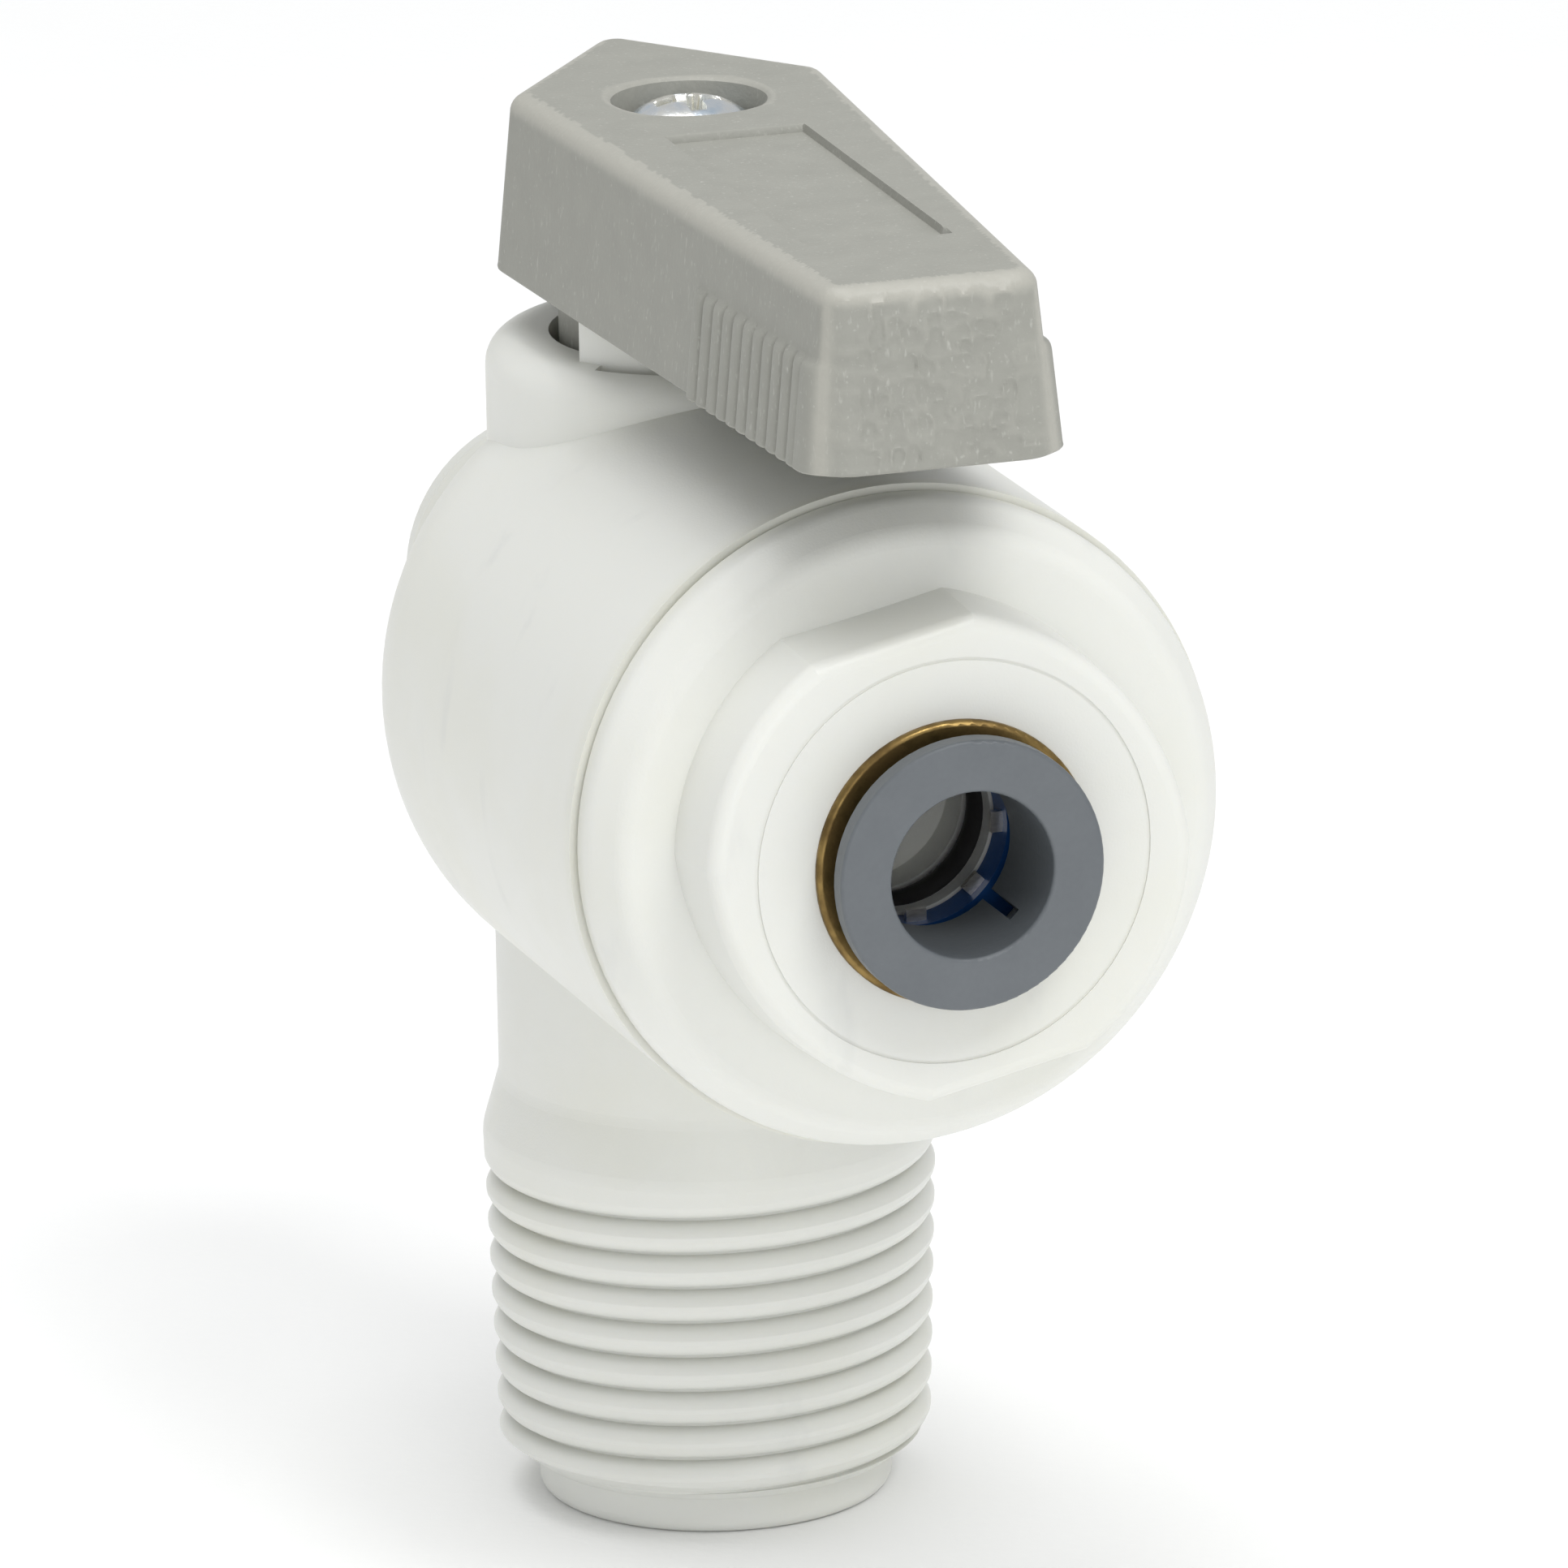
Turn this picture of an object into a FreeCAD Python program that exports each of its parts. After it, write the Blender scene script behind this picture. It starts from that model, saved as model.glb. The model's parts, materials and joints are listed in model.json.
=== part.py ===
import FreeCAD, Part
import math
import os
import re
import Sketcher

# Three way valve with a tapered male pipe thread, two push-in tube ports and a lever handle.
#
# The origin is the centre of the male connection's bottom face, +Z runs up through the thread
# and the stem, and the front port faces -Y. Heights and distances in the sheet are measured from
# the ball's centre, and each piece is lifted by ball_height. The two port cartridges are alike:
# each is made about the centre of its own mouth, with +Z pointing out of the port, and laid over.

SIZES = [
    ("ball_height", 33.1),
    ("overrun", 1.0),
    # barrel and rear end
    ("barrel_radius", 12.85),
    ("barrel_front", 21.7),
    ("dome_start", -0.6),
    ("dome_length", 9.2),
    ("rear_boss_radius", 7.0),
    ("rear_boss_start", 2.0),
    ("rear_boss_end", 15.4),
    ("rear_lip_radius", 6.2),
    ("rear_lip_end", 17.5),
    ("rear_boss_round", 0.5),
    # neck, thread and nose
    ("neck_radius", 8.19),
    ("neck_round", 1.5),
    ("neck_top", -3.0),
    ("collar_radius", 8.87),
    ("collar_top", -16.0),
    ("collar_full", -18.3),
    ("thread_top", -19.9),
    ("thread_radius", 8.82),
    ("thread_taper", 0.03125),
    ("thread_end", -31.5),
    ("thread_chamfer", 0.9),
    ("thread_pitch", 1.411),
    ("thread_depth", 0.72),
    ("thread_land", 0.12),
    ("thread_root", 0.14),
    ("thread_flank", 0.75),
    ("thread_clear", 0.6),
    ("groove_start", -32.04),
    ("groove_height", 12.9),
    ("nose_radius", 6.93),
    ("nose_round", 0.5),
    ("nose_step", 0.4),
    ("inlet_radius", 5.0),
    ("inlet_roof", -15.0),
    ("throat_radius", 2.6),
    ("throat_start", -12.5),
    # top boss, hub recess, stop lug and its moulding slot
    ("boss_radius", 8.06),
    ("boss_top", 13.75),
    ("boss_round", 1.3),
    ("boss_foot", 4.0),
    ("recess_radius", 5.6),
    ("recess_floor", 11.3),
    ("lug_inner", 5.62),
    ("lug_outer", 6.7),
    ("lug_top", 15.55),
    ("lug_start", 210.0),
    ("lug_sweep", 38.0),
    ("slot_width", 0.5),
    ("slot_depth", 1.0),
    ("slot_start", 219.0),
    ("slot_sweep", 27.0),
    # cavity and stem bore
    ("cavity_radius", 6.3),
    ("cavity_end", 6.8),
    ("sleeve_seat", 8.2),
    ("sleeve_bore", 9.4),
    ("passage_radius", 2.3),
    ("stem_bore", 2.95),
    ("washer_pocket", 3.95),
    ("pocket_base", 4.5),
    ("pocket_roof", 7.3),
    # ball and seats
    ("ball_radius", 5.5),
    ("ball_port", 2.1),
    ("ball_gap", 0.05),
    ("ball_slot_floor", 4.25),
    ("seat_radius", 6.25),
    ("seat_start", 3.95),
    ("seat_end", 5.9),
    ("seat_seal_section", 0.42),
    ("seat_seal_radius", 4.6),
    # stem
    ("tang_half", 1.0),
    ("tang_gap", 0.04),
    ("tang_length", 4.6),
    ("stem_radius", 2.88),
    ("stem_flange", 3.6),
    ("flange_base", 5.55),
    ("flange_top", 6.6),
    ("washer_low", 6.66),
    ("washer_high", 7.2),
    ("washer_gap", 0.1),
    ("seal_groove", 1.68),
    ("low_groove", 7.7),
    ("high_groove", 9.5),
    ("groove_width", 1.3),
    ("stem_seal_section", 0.6),
    ("flat_half", 2.2),
    ("flat_start", 11.9),
    ("stem_top", 19.2),
    # handle, in plan measured from the stem's axis with the lever pointing to -Y
    ("handle_angle", -2.3),
    ("handle_base", 15.9),
    ("handle_top", 22.87),
    ("shoulder_half", 6.3),
    ("shoulder_y", 3.2),
    ("apex_y", 11.7),
    ("tip_half", 4.05),
    ("tip_y", -30.75),
    ("side_draft", 0.7),
    ("plan_round", 1.0),
    ("edge_round", 0.55),
    ("hub_radius", 5.2),
    ("hub_base", 11.6),
    ("socket_gap", 0.02),
    ("socket_head", 0.05),
    ("stop_inner", 5.75),
    ("stop_outer", 6.6),
    ("stop_base", 14.05),
    ("stop_gap", 0.6),
    ("stop_root", 0.5),
    ("screw_recess", 2.98),
    ("screw_seat", 20.4),
    ("panel_half", 3.0),
    ("panel_near", -6.2),
    ("panel_far", -24.8),
    ("panel_depth", 0.3),
    ("grip_top", 20.1),
    ("grip_pitch", 1.02),
    ("grip_radius", 0.42),
    ("grip_sink", 0.1),
    ("grip_first", -18.3),
    ("hollow_wall", 1.5),
    ("hollow_web", 0.7),
    ("hollow_roof", 20.9),
    ("hollow_near", -9.0),
    ("hollow_far", -28.6),
    # screw
    ("screw_head", 2.4),
    ("crown_radius", 1.5),
    ("screw_crown", 22.8),
    ("screw_edge", 22.1),
    ("screw_shank", 1.45),
    ("screw_gap", 0.1),
    ("screw_round", 0.4),
    ("screw_end", 13.5),
    ("cross_half", 0.28),
    ("cross_reach", 1.35),
    ("cross_depth", 1.0),
    # front cap, measured outwards from the ball's centre
    ("cap_nose", 6.25),
    ("cap_sleeve", 9.35),
    ("cap_groove_start", 9.8),
    ("cap_groove_end", 11.2),
    ("cap_groove_floor", 8.05),
    ("cap_seal_section", 0.63),
    ("cap_radius", 12.6),
    ("seam_depth", 0.3),
    ("seam_width", 0.2),
    ("cap_edge", 22.8),
    ("cap_shoulder", 24.3),
    ("cap_shoulder_radius", 11.6),
    ("cap_face", 25.3),
    ("cap_round", 1.1),
    ("cap_boss_face", 28.2),
    ("cap_boss_radius", 9.75),
    ("cap_flat", 9.15),
    ("cap_flat_left", 3.65),
    ("cap_flat_right", 2.87),
    ("cap_side_x", 9.44),
    ("cap_side_y", 2.42),
    ("cap_soft_radius", 11.5),
    ("cap_flat_angle", 11.5),
    ("cap_boss_draft", 3.0),
    ("cap_boss_round", 0.6),
    ("face_line_radius", 7.7),
    ("face_line_width", 0.12),
    ("face_line_depth", 0.06),
    # port cartridge, measured outwards from the centre of the mouth
    ("front_mouth", 28.5),
    ("rear_mouth", 17.6),
    ("ring_outer", 5.47),
    ("ring_lip", 4.55),
    ("ring_inner", 4.95),
    ("ring_back", -3.2),
    ("ring_lip_back", -0.8),
    ("ring_round", 0.2),
    ("collet_bore", 3.2),
    ("collet_flange", 5.2),
    ("collet_face", 1.8),
    ("flange_back", 1.0),
    ("collet_sleeve", 4.25),
    ("collet_barb", 4.75),
    ("barb_back", -1.6),
    ("barb_front", -1.0),
    ("collet_end", 4.0),
    ("collet_back", -2.9),
    ("collet_round", 0.15),
    ("leg_slot_half", 0.25),
    ("grip_front", -4.0),
    ("grip_back", -5.4),
    ("grip_inner", 3.5),
    ("seal_bore", 5.0),
    ("backup_front", -5.5),
    ("backup_back", -6.3),
    ("backup_inner", 3.4),
    ("tube_seal_section", 0.9),
    ("seal_bore_end", -8.3),
    ("pilot_radius", 3.3),
    ("tube_stop", -9.9),
    ("tooth_tip", 3.02),
    ("tooth_root", 4.3),
    ("tooth_half", 0.4),
    ("tooth_middle", -4.7),
    ("tooth_gauge", 0.25),
]

TEETH = 8
LEG_SLOTS = 4
GRIP_RIBS = 12
ALIASES = {alias for alias, size in SIZES}

doc = FreeCAD.newDocument("three_way_valve")
sheet = doc.addObject("Spreadsheet::Sheet", "Sizes")
for row, (alias, size) in enumerate(SIZES, start=1):
    sheet.set(f"A{row}", alias)
    sheet.set(f"B{row}", str(size))
    sheet.setAlias(f"B{row}", alias)
doc.recompute()

FRONT = ((1, 0, 0), "90")
REAR = ((1, 0, 0), "-90")
UPRIGHT = ((0, 0, 1), "0")
WITH_HANDLE = ((0, 0, 1), "handle_angle")


# --- Helpers ----------------------------------------------------------------------------------


def bound(text):
    """An expression in which each alias is read from the sheet."""
    return re.sub(r"[a-z_]+", lambda word: ("Sizes." if word[0] in ALIASES else "") + word[0], text)


def value(text):
    """The present value of an expression, in millimetres or degrees."""
    answer = sheet.evalExpression(bound(text))
    return float(getattr(answer, "Value", answer))


def bind(thing, **expressions):
    """Sets properties to expressions and keeps them bound."""
    for prop, text in expressions.items():
        setattr(thing, prop, value(text))
        thing.setExpression(prop, bound(text))
    return thing


def place(thing, x="0", y="0", z="ball_height", turn=UPRIGHT):
    """Puts a piece at a bound position, turned about an axis."""
    axis, angle = turn
    spot = FreeCAD.Vector(value(x), value(y), value(z))
    thing.Placement = FreeCAD.Placement(spot, FreeCAD.Rotation(FreeCAD.Vector(*axis), value(angle)))
    for letter, text in (("x", x), ("y", y), ("z", z)):
        thing.setExpression(f"Placement.Base.{letter}", bound(text))
    return thing


def curved(start, end, radius):
    """The arc from start to end; a positive radius bulges to the right of the way along."""
    chord = end - start
    half = chord.Length / 2
    bulge = abs(radius) - math.sqrt(radius * radius - half * half)
    right = FreeCAD.Vector(chord.y, -chord.x, 0).normalize()
    middle = (start + end) / 2 + right * math.copysign(bulge, radius)
    return Part.Arc(start, middle, end)


def outline(body, name, role, corners, lift="0"):
    """A closed sketch with every corner held at bound distances from the origin.

    A corner is (x, y), or (x, y, radius) where the side that leaves it is an arc.
    """
    plane = next(part for part in body.Origin.OriginFeatures if part.Role == role)
    sketch = body.newObject("Sketcher::SketchObject", name)
    sketch.AttachmentSupport = [(plane, "")]
    sketch.MapMode = "FlatFace"
    sketch.AttachmentOffset = FreeCAD.Placement(FreeCAD.Vector(0, 0, value(lift)), FreeCAD.Rotation())
    sketch.setExpression("AttachmentOffset.Base.z", bound(lift))
    spots = [FreeCAD.Vector(value(corner[0]), value(corner[1]), 0) for corner in corners]
    starts, ends = [], []
    for i, corner in enumerate(corners):
        here, there = spots[i], spots[(i + 1) % len(spots)]
        if len(corner) == 3:
            side = sketch.addGeometry(curved(here, there, value(corner[2])), False)
            held = sketch.addConstraint(Sketcher.Constraint("Radius", side, abs(value(corner[2]))))
            sketch.setExpression(f"Constraints[{held}]", bound(f"abs({corner[2]})"))
        else:
            side = sketch.addGeometry(Part.LineSegment(here, there), False)
        along = sketch.getPoint(side, 1).distanceToPoint(here) < 1e-6
        starts.append(1 if along else 2)
        ends.append(2 if along else 1)
    for i, corner in enumerate(corners):
        after = (i + 1) % len(corners)
        sketch.addConstraint(Sketcher.Constraint("Coincident", i, ends[i], after, starts[after]))
        for kind, text in (("DistanceX", corner[0]), ("DistanceY", corner[1])):
            rule = Sketcher.Constraint(kind, -1, 1, i, starts[i], value(text))
            sketch.setExpression(f"Constraints[{sketch.addConstraint(rule)}]", bound(text))
    return sketch


def turned(name, profile):
    """A body turned about its own Z axis from a profile of (radius, height) corners."""
    body = doc.addObject("PartDesign::Body", name)
    sketch = outline(body, name + "_profile", "XZ_Plane", profile)
    turn = body.newObject("PartDesign::Revolution", name + "_turn")
    turn.Profile = sketch
    turn.ReferenceAxis = (sketch, ["V_Axis"])
    turn.Angle = 360
    doc.recompute()
    return body


def ring(name, inner, outer, low, high):
    return turned(name, [(inner, low), (outer, low), (outer, high), (inner, high)])


def rims(shape, wanted):
    """Names of the circular edges that lie at the wanted (radius, height) pairs."""
    names = []
    for i, edge in enumerate(shape.Edges, start=1):
        if not isinstance(edge.Curve, Part.Circle):
            continue
        for radius, height in wanted:
            right_size = abs(edge.Curve.Radius - value(radius)) < 0.01
            if right_size and abs(edge.Curve.Center.z - value(height)) < 0.01:
                names.append(f"Edge{i}")
    return names


def dress(body, kind, size, *wanted):
    """A fillet or a chamfer on rims of a turned body, named by radius and height."""
    tip = body.Tip
    feature = body.newObject(f"PartDesign::{kind}", f"{body.Name}_{kind.lower()}{len(body.Group)}")
    feature.Base = (tip, rims(tip.Shape, wanted))
    bind(feature, **{"Radius" if kind == "Fillet" else "Size": size})
    doc.recompute()
    return body


def cylinder(name, radius, low, high, x="0", y="0", z="ball_height", turn=UPRIGHT):
    """A rod along Z, or along the turned Z, from low to high."""
    rod = doc.addObject("Part::Cylinder", name)
    bind(rod, Radius=radius, Height=f"({high}) - ({low})")
    if turn is UPRIGHT or turn is WITH_HANDLE:
        return place(rod, x, y, f"{z} + ({low})", turn)
    outward = "-1" if turn is FRONT else "1"
    return place(rod, x, f"({y}) + {outward} * ({low})", z, turn)


def block(name, x, y, z, turn=UPRIGHT):
    """A box about the stem's axis with each pair of faces at bound distances."""
    slab = doc.addObject("Part::Box", name)
    bind(
        slab,
        Length=f"({x[1]}) - ({x[0]})",
        Width=f"({y[1]}) - ({y[0]})",
        Height=f"({z[1]}) - ({z[0]})",
    )
    corner = FreeCAD.Rotation(FreeCAD.Vector(*turn[0]), value(turn[1])).multVec(
        FreeCAD.Vector(value(x[0]), value(y[0]), value(z[0]))
    )
    place(slab, str(corner.x), str(corner.y), "0", turn)
    slab.Placement.Base.z = value("ball_height") + corner.z
    slab.setExpression("Placement.Base.z", bound(f"ball_height + ({z[0]})"))
    return slab


def fuse(name, *pieces):
    whole = doc.addObject("Part::MultiFuse", name)
    whole.Shapes = list(pieces)
    whole.Refine = True
    doc.recompute()
    return whole


def cut(name, base, *tools):
    tool = tools[0] if len(tools) == 1 else fuse(name + "_tools", *tools)
    rest = doc.addObject("Part::Cut", name)
    rest.Base = base
    rest.Tool = tool
    rest.Refine = True
    doc.recompute()
    return rest


def sector(name, inner, outer, low, high, start, sweep, turn=UPRIGHT):
    """The stretch of a ring that sweeps so many degrees on from start."""
    whole = cylinder(name + "_whole", outer, low, high)
    bind(whole, Angle=sweep)
    angle = value(start) + value(turn[1])
    whole.Placement.Rotation = FreeCAD.Rotation(FreeCAD.Vector(0, 0, 1), angle)
    hole = cylinder(name + "_hole", inner, f"({low}) - overrun", f"({high}) + overrun")
    return cut(name, whole, hole)


def rounded(name, base, size, choose):
    """A fillet on the edges of a solid that choose picks."""
    picked = [i for i, edge in enumerate(base.Shape.Edges, start=1) if choose(edge)]
    feature = doc.addObject("Part::Fillet", name)
    feature.Base = base
    feature.Edges = [(i, value(size), value(size)) for i in picked]
    doc.recompute()
    return feature


def torus(name, major, minor):
    loop = doc.addObject("Part::Torus", name)
    return bind(loop, Radius1=major, Radius2=minor)


# --- Valve body -------------------------------------------------------------------------------


def neck_blank():
    """The neck, its collar, the tapered blank that the thread is cut in and the pilot nose."""
    blank_end = "thread_radius - thread_taper * (thread_top - thread_end - thread_chamfer)"
    neck = turned(
        "neck",
        [
            ("0", "-ball_height"),
            ("nose_radius", "-ball_height"),
            ("nose_radius", "thread_end"),
            ("nose_radius + nose_step", "thread_end"),
            (blank_end, "thread_end + thread_chamfer"),
            ("collar_radius", "collar_full"),
            ("neck_radius", "collar_top"),
            ("neck_radius", "neck_top"),
            ("0", "neck_top"),
        ],
    )
    dress(neck, "Fillet", "nose_round", ("nose_radius", "-ball_height"))
    dress(neck, "Fillet", "neck_round", ("collar_radius", "collar_full"), ("neck_radius", "collar_top"))
    return place(neck)


def thread_groove():
    """The tapered thread's groove as a solid: a rounded vee carried up a conical helix."""
    body = doc.addObject("PartDesign::Body", "thread_groove")
    crest = "(thread_radius - thread_taper * (thread_top - groove_start))"
    half = "(thread_pitch - thread_land) / 2"
    vee = outline(
        body,
        "thread_vee",
        "XZ_Plane",
        [
            (f"{crest} - thread_depth", "groove_start - thread_root / 2", "-thread_flank"),
            (crest, f"groove_start - {half}"),
            (f"{crest} + thread_clear", f"groove_start - {half}"),
            (f"{crest} + thread_clear", f"groove_start + {half}"),
            (crest, f"groove_start + {half}", "-thread_flank"),
            (f"{crest} - thread_depth", "groove_start + thread_root / 2"),
        ],
    )
    helix = body.newObject("PartDesign::AdditiveHelix", "thread_helix")
    helix.Profile = vee
    helix.ReferenceAxis = (vee, ["V_Axis"])
    helix.Mode = "pitch-height-angle"
    bind(helix, Pitch="thread_pitch", Height="groove_height")
    helix.Angle = math.degrees(math.atan(value("thread_taper")))
    doc.recompute()
    return place(body)


def port_bores(name, mouth, start, turn):
    """Everything that a port's bore takes away: passage, tube pilot, seal bore and ring seat."""
    bores = turned(
        name,
        [
            ("0", start),
            ("passage_radius", start),
            ("passage_radius", f"{mouth} + tube_stop"),
            ("pilot_radius", f"{mouth} + tube_stop"),
            ("pilot_radius", f"{mouth} + seal_bore_end"),
            ("seal_bore", f"{mouth} + seal_bore_end"),
            ("seal_bore", f"{mouth} + ring_back"),
            ("ring_outer", f"{mouth} + ring_back"),
            ("ring_outer", f"{mouth} + overrun"),
            ("0", f"{mouth} + overrun"),
        ],
    )
    return place(bores, turn=turn)


def rear_boss():
    boss = turned(
        "rear_boss",
        [
            ("0", "rear_boss_start"),
            ("rear_boss_radius", "rear_boss_start"),
            ("rear_boss_radius", "rear_boss_end"),
            ("rear_lip_radius", "rear_boss_end"),
            ("rear_lip_radius", "rear_lip_end"),
            ("0", "rear_lip_end"),
        ],
    )
    dress(boss, "Fillet", "rear_boss_round", ("rear_boss_radius", "rear_boss_end"))
    return place(boss, turn=REAR)


def top_boss():
    boss = turned(
        "top_boss",
        [("0", "boss_foot"), ("boss_radius", "boss_foot"), ("boss_radius", "boss_top"), ("0", "boss_top")],
    )
    dress(boss, "Fillet", "boss_round", ("boss_radius", "boss_top"))
    return place(boss)


def stem_bores():
    """The hub's recess, the stem's bore and the pocket for the stem's flange and washer."""
    bores = turned(
        "stem_bores",
        [
            ("0", "pocket_base"),
            ("washer_pocket", "pocket_base"),
            ("washer_pocket", "pocket_roof"),
            ("stem_bore", "pocket_roof"),
            ("stem_bore", "recess_floor"),
            ("recess_radius", "recess_floor"),
            ("recess_radius", "boss_top + overrun"),
            ("0", "boss_top + overrun"),
        ],
    )
    return place(bores)


def inlet_bore():
    bore = turned(
        "inlet_bore",
        [
            ("0", "-ball_height - overrun"),
            ("inlet_radius", "-ball_height - overrun"),
            ("inlet_radius", "inlet_roof"),
            ("throat_radius", "throat_start"),
            ("throat_radius", "-ball_radius"),
            ("0", "-ball_radius"),
        ],
    )
    return place(bore)


def valve_body():
    length = "barrel_front + dome_start"
    barrel = cylinder("barrel", "barrel_radius", "0", length, y="dome_start", turn=FRONT)
    dome = doc.addObject("Part::Ellipsoid", "dome")
    bind(dome, Radius1="dome_length", Radius2="barrel_radius", Radius3="barrel_radius")
    dome.Angle1 = 0
    place(dome, y="dome_start", turn=REAR)
    lug = sector("lug", "lug_inner", "lug_outer", "boss_top - overrun", "lug_top", "lug_start", "lug_sweep")
    outside = fuse("body_outside", barrel, dome, neck_blank(), top_boss(), rear_boss())
    solid = fuse("body_solid", outside, lug)
    slot = sector(
        "lug_slot",
        "lug_outer",
        "lug_outer + slot_width",
        "boss_top - slot_depth",
        "boss_top + overrun",
        "slot_start",
        "slot_sweep",
    )
    cavity = turned(
        "cavity",
        [
            ("0", "-cavity_end"),
            ("cavity_radius", "-cavity_end"),
            ("cavity_radius", "sleeve_seat"),
            ("sleeve_bore", "sleeve_seat"),
            ("sleeve_bore", "barrel_front + overrun"),
            ("0", "barrel_front + overrun"),
        ],
    )
    place(cavity, turn=FRONT)
    rear_port = port_bores("rear_port_bores", "rear_mouth", "cavity_end - overrun", REAR)
    hollowed = cut("body_hollowed", solid, cavity, rear_port, stem_bores(), inlet_bore(), slot)
    return cut("valve_body", hollowed, thread_groove())


# --- Front cap --------------------------------------------------------------------------------


def cap_boss():
    """The faceted boss: two flats and two softer sides, drafted and rounded at its face."""
    body = doc.addObject("PartDesign::Body", "cap_boss")
    corners = [
        ("cap_flat_right", "cap_flat"),
        ("-cap_flat_left", "cap_flat", "cap_boss_radius"),
        ("-cap_side_x", "cap_side_y", "cap_soft_radius"),
        ("-cap_flat_right", "-cap_flat"),
        ("cap_flat_left", "-cap_flat", "cap_boss_radius"),
        ("cap_side_x", "-cap_side_y", "cap_soft_radius"),
    ]
    plan = outline(body, "cap_boss_plan", "XY_Plane", corners, "cap_shoulder")
    pad = body.newObject("PartDesign::Pad", "cap_boss_pad")
    pad.Profile = plan
    bind(pad, Length="cap_boss_face - cap_shoulder")
    pad.TaperAngle = -value("cap_boss_draft")
    doc.recompute()
    turn = FreeCAD.Rotation(FreeCAD.Vector(0, 0, 1), value("cap_flat_angle"))
    lay = FreeCAD.Rotation(FreeCAD.Vector(1, 0, 0), 90)
    body.Placement = FreeCAD.Placement(FreeCAD.Vector(0, 0, value("ball_height")), lay.multiply(turn))
    return body


def front_cap():
    """The welded cap: a sleeve inside the barrel, a rounded shoulder and the faceted boss."""
    shell = turned(
        "cap_shell",
        [
            ("0", "cavity_end"),
            ("cap_nose", "cavity_end"),
            ("cap_nose", "sleeve_seat"),
            ("cap_sleeve", "sleeve_seat"),
            ("cap_sleeve", "cap_groove_start"),
            ("cap_groove_floor", "cap_groove_start"),
            ("cap_groove_floor", "cap_groove_end"),
            ("cap_sleeve", "cap_groove_end"),
            ("cap_sleeve", "barrel_front"),
            ("cap_radius - seam_depth", "barrel_front"),
            ("cap_radius - seam_depth", "barrel_front + seam_width"),
            ("cap_radius", "barrel_front + seam_width"),
            ("cap_radius", "cap_edge"),
            ("cap_shoulder_radius", "cap_shoulder"),
            ("cap_soft_radius / 2", "cap_face"),
            ("0", "cap_face"),
        ],
    )
    shoulder = (("cap_radius", "cap_edge"), ("cap_shoulder_radius", "cap_shoulder"))
    dress(shell, "Fillet", "cap_round", *shoulder)
    place(shell, turn=FRONT)
    solid = fuse("cap_solid", shell, cap_boss())
    face = -value("cap_boss_face")
    soft = rounded(
        "cap_soft",
        solid,
        "cap_boss_round",
        lambda edge: all(abs(vertex.Point.y - face) < 1e-3 for vertex in edge.Vertexes),
    )
    bores = port_bores("front_port_bores", "front_mouth", "cavity_end - overrun", FRONT)
    line = ring(
        "face_line",
        "face_line_radius",
        "face_line_radius + face_line_width",
        "cap_boss_face - face_line_depth",
        "cap_boss_face + overrun",
    )
    return cut("front_cap", soft, bores, place(line, turn=FRONT))


# --- Ball, seats and stem ---------------------------------------------------------------------


def ball():
    """The L-port ball: one bore from below, one to the front, and a slot on top for the stem."""
    sphere = doc.addObject("Part::Sphere", "sphere")
    bind(sphere, Radius="ball_radius")
    place(sphere, turn=WITH_HANDLE)
    below = cylinder("ball_lower_bore", "ball_port", "-ball_radius - overrun", "0")
    ahead = cylinder("ball_front_bore", "ball_port", "0", "ball_radius + overrun", turn=FRONT)
    elbow = doc.addObject("Part::Sphere", "ball_elbow")
    bind(elbow, Radius="ball_port")
    place(elbow)
    slot = block(
        "ball_slot",
        ("-ball_radius", "ball_radius"),
        ("-tang_half - tang_gap", "tang_half + tang_gap"),
        ("ball_slot_floor", "ball_radius + overrun"),
        WITH_HANDLE,
    )
    return cut("ball", sphere, below, ahead, elbow, slot)


def seat(name, turn):
    blank = ring(name + "_blank", "passage_radius", "seat_radius", "seat_start", "seat_end")
    place(blank, turn=turn)
    hollow = doc.addObject("Part::Sphere", name + "_hollow")
    bind(hollow, Radius="ball_radius + ball_gap")
    place(hollow)
    return cut(name, blank, hollow)


def seat_seal(name, outward, turn):
    loop = torus(name, "seat_seal_radius", "seat_seal_section")
    return place(loop, y=f"{outward} * (seat_end + cavity_end) / 2", turn=turn)


def stem():
    """The stem: tang, blow-out flange, two seal grooves and two flats that drive the handle."""
    shaft = turned(
        "stem_shaft",
        [
            ("0", "flange_base"),
            ("stem_flange", "flange_base"),
            ("stem_flange", "flange_top"),
            ("stem_radius", "flange_top"),
            ("stem_radius", "low_groove"),
            ("seal_groove", "low_groove"),
            ("seal_groove", "low_groove + groove_width"),
            ("stem_radius", "low_groove + groove_width"),
            ("stem_radius", "high_groove"),
            ("seal_groove", "high_groove"),
            ("seal_groove", "high_groove + groove_width"),
            ("stem_radius", "high_groove + groove_width"),
            ("stem_radius", "stem_top"),
            ("0", "stem_top"),
        ],
    )
    place(shaft, turn=WITH_HANDLE)
    tang = block(
        "stem_tang",
        ("-tang_length / 2", "tang_length / 2"),
        ("-tang_half", "tang_half"),
        ("ball_slot_floor + tang_gap", "flange_base + tang_gap"),
        WITH_HANDLE,
    )
    height = ("flat_start", "stem_top + overrun")
    across = ("-stem_flange", "stem_flange")
    left = block("stem_left_flat", ("-stem_flange", "-flat_half"), across, height, WITH_HANDLE)
    right = block("stem_right_flat", ("flat_half", "stem_flange"), across, height, WITH_HANDLE)
    tapped = cylinder("stem_tapping", "screw_shank", "screw_end", "stem_top + overrun")
    return cut("stem", fuse("stem_solid", shaft, tang), left, right, tapped)


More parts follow.
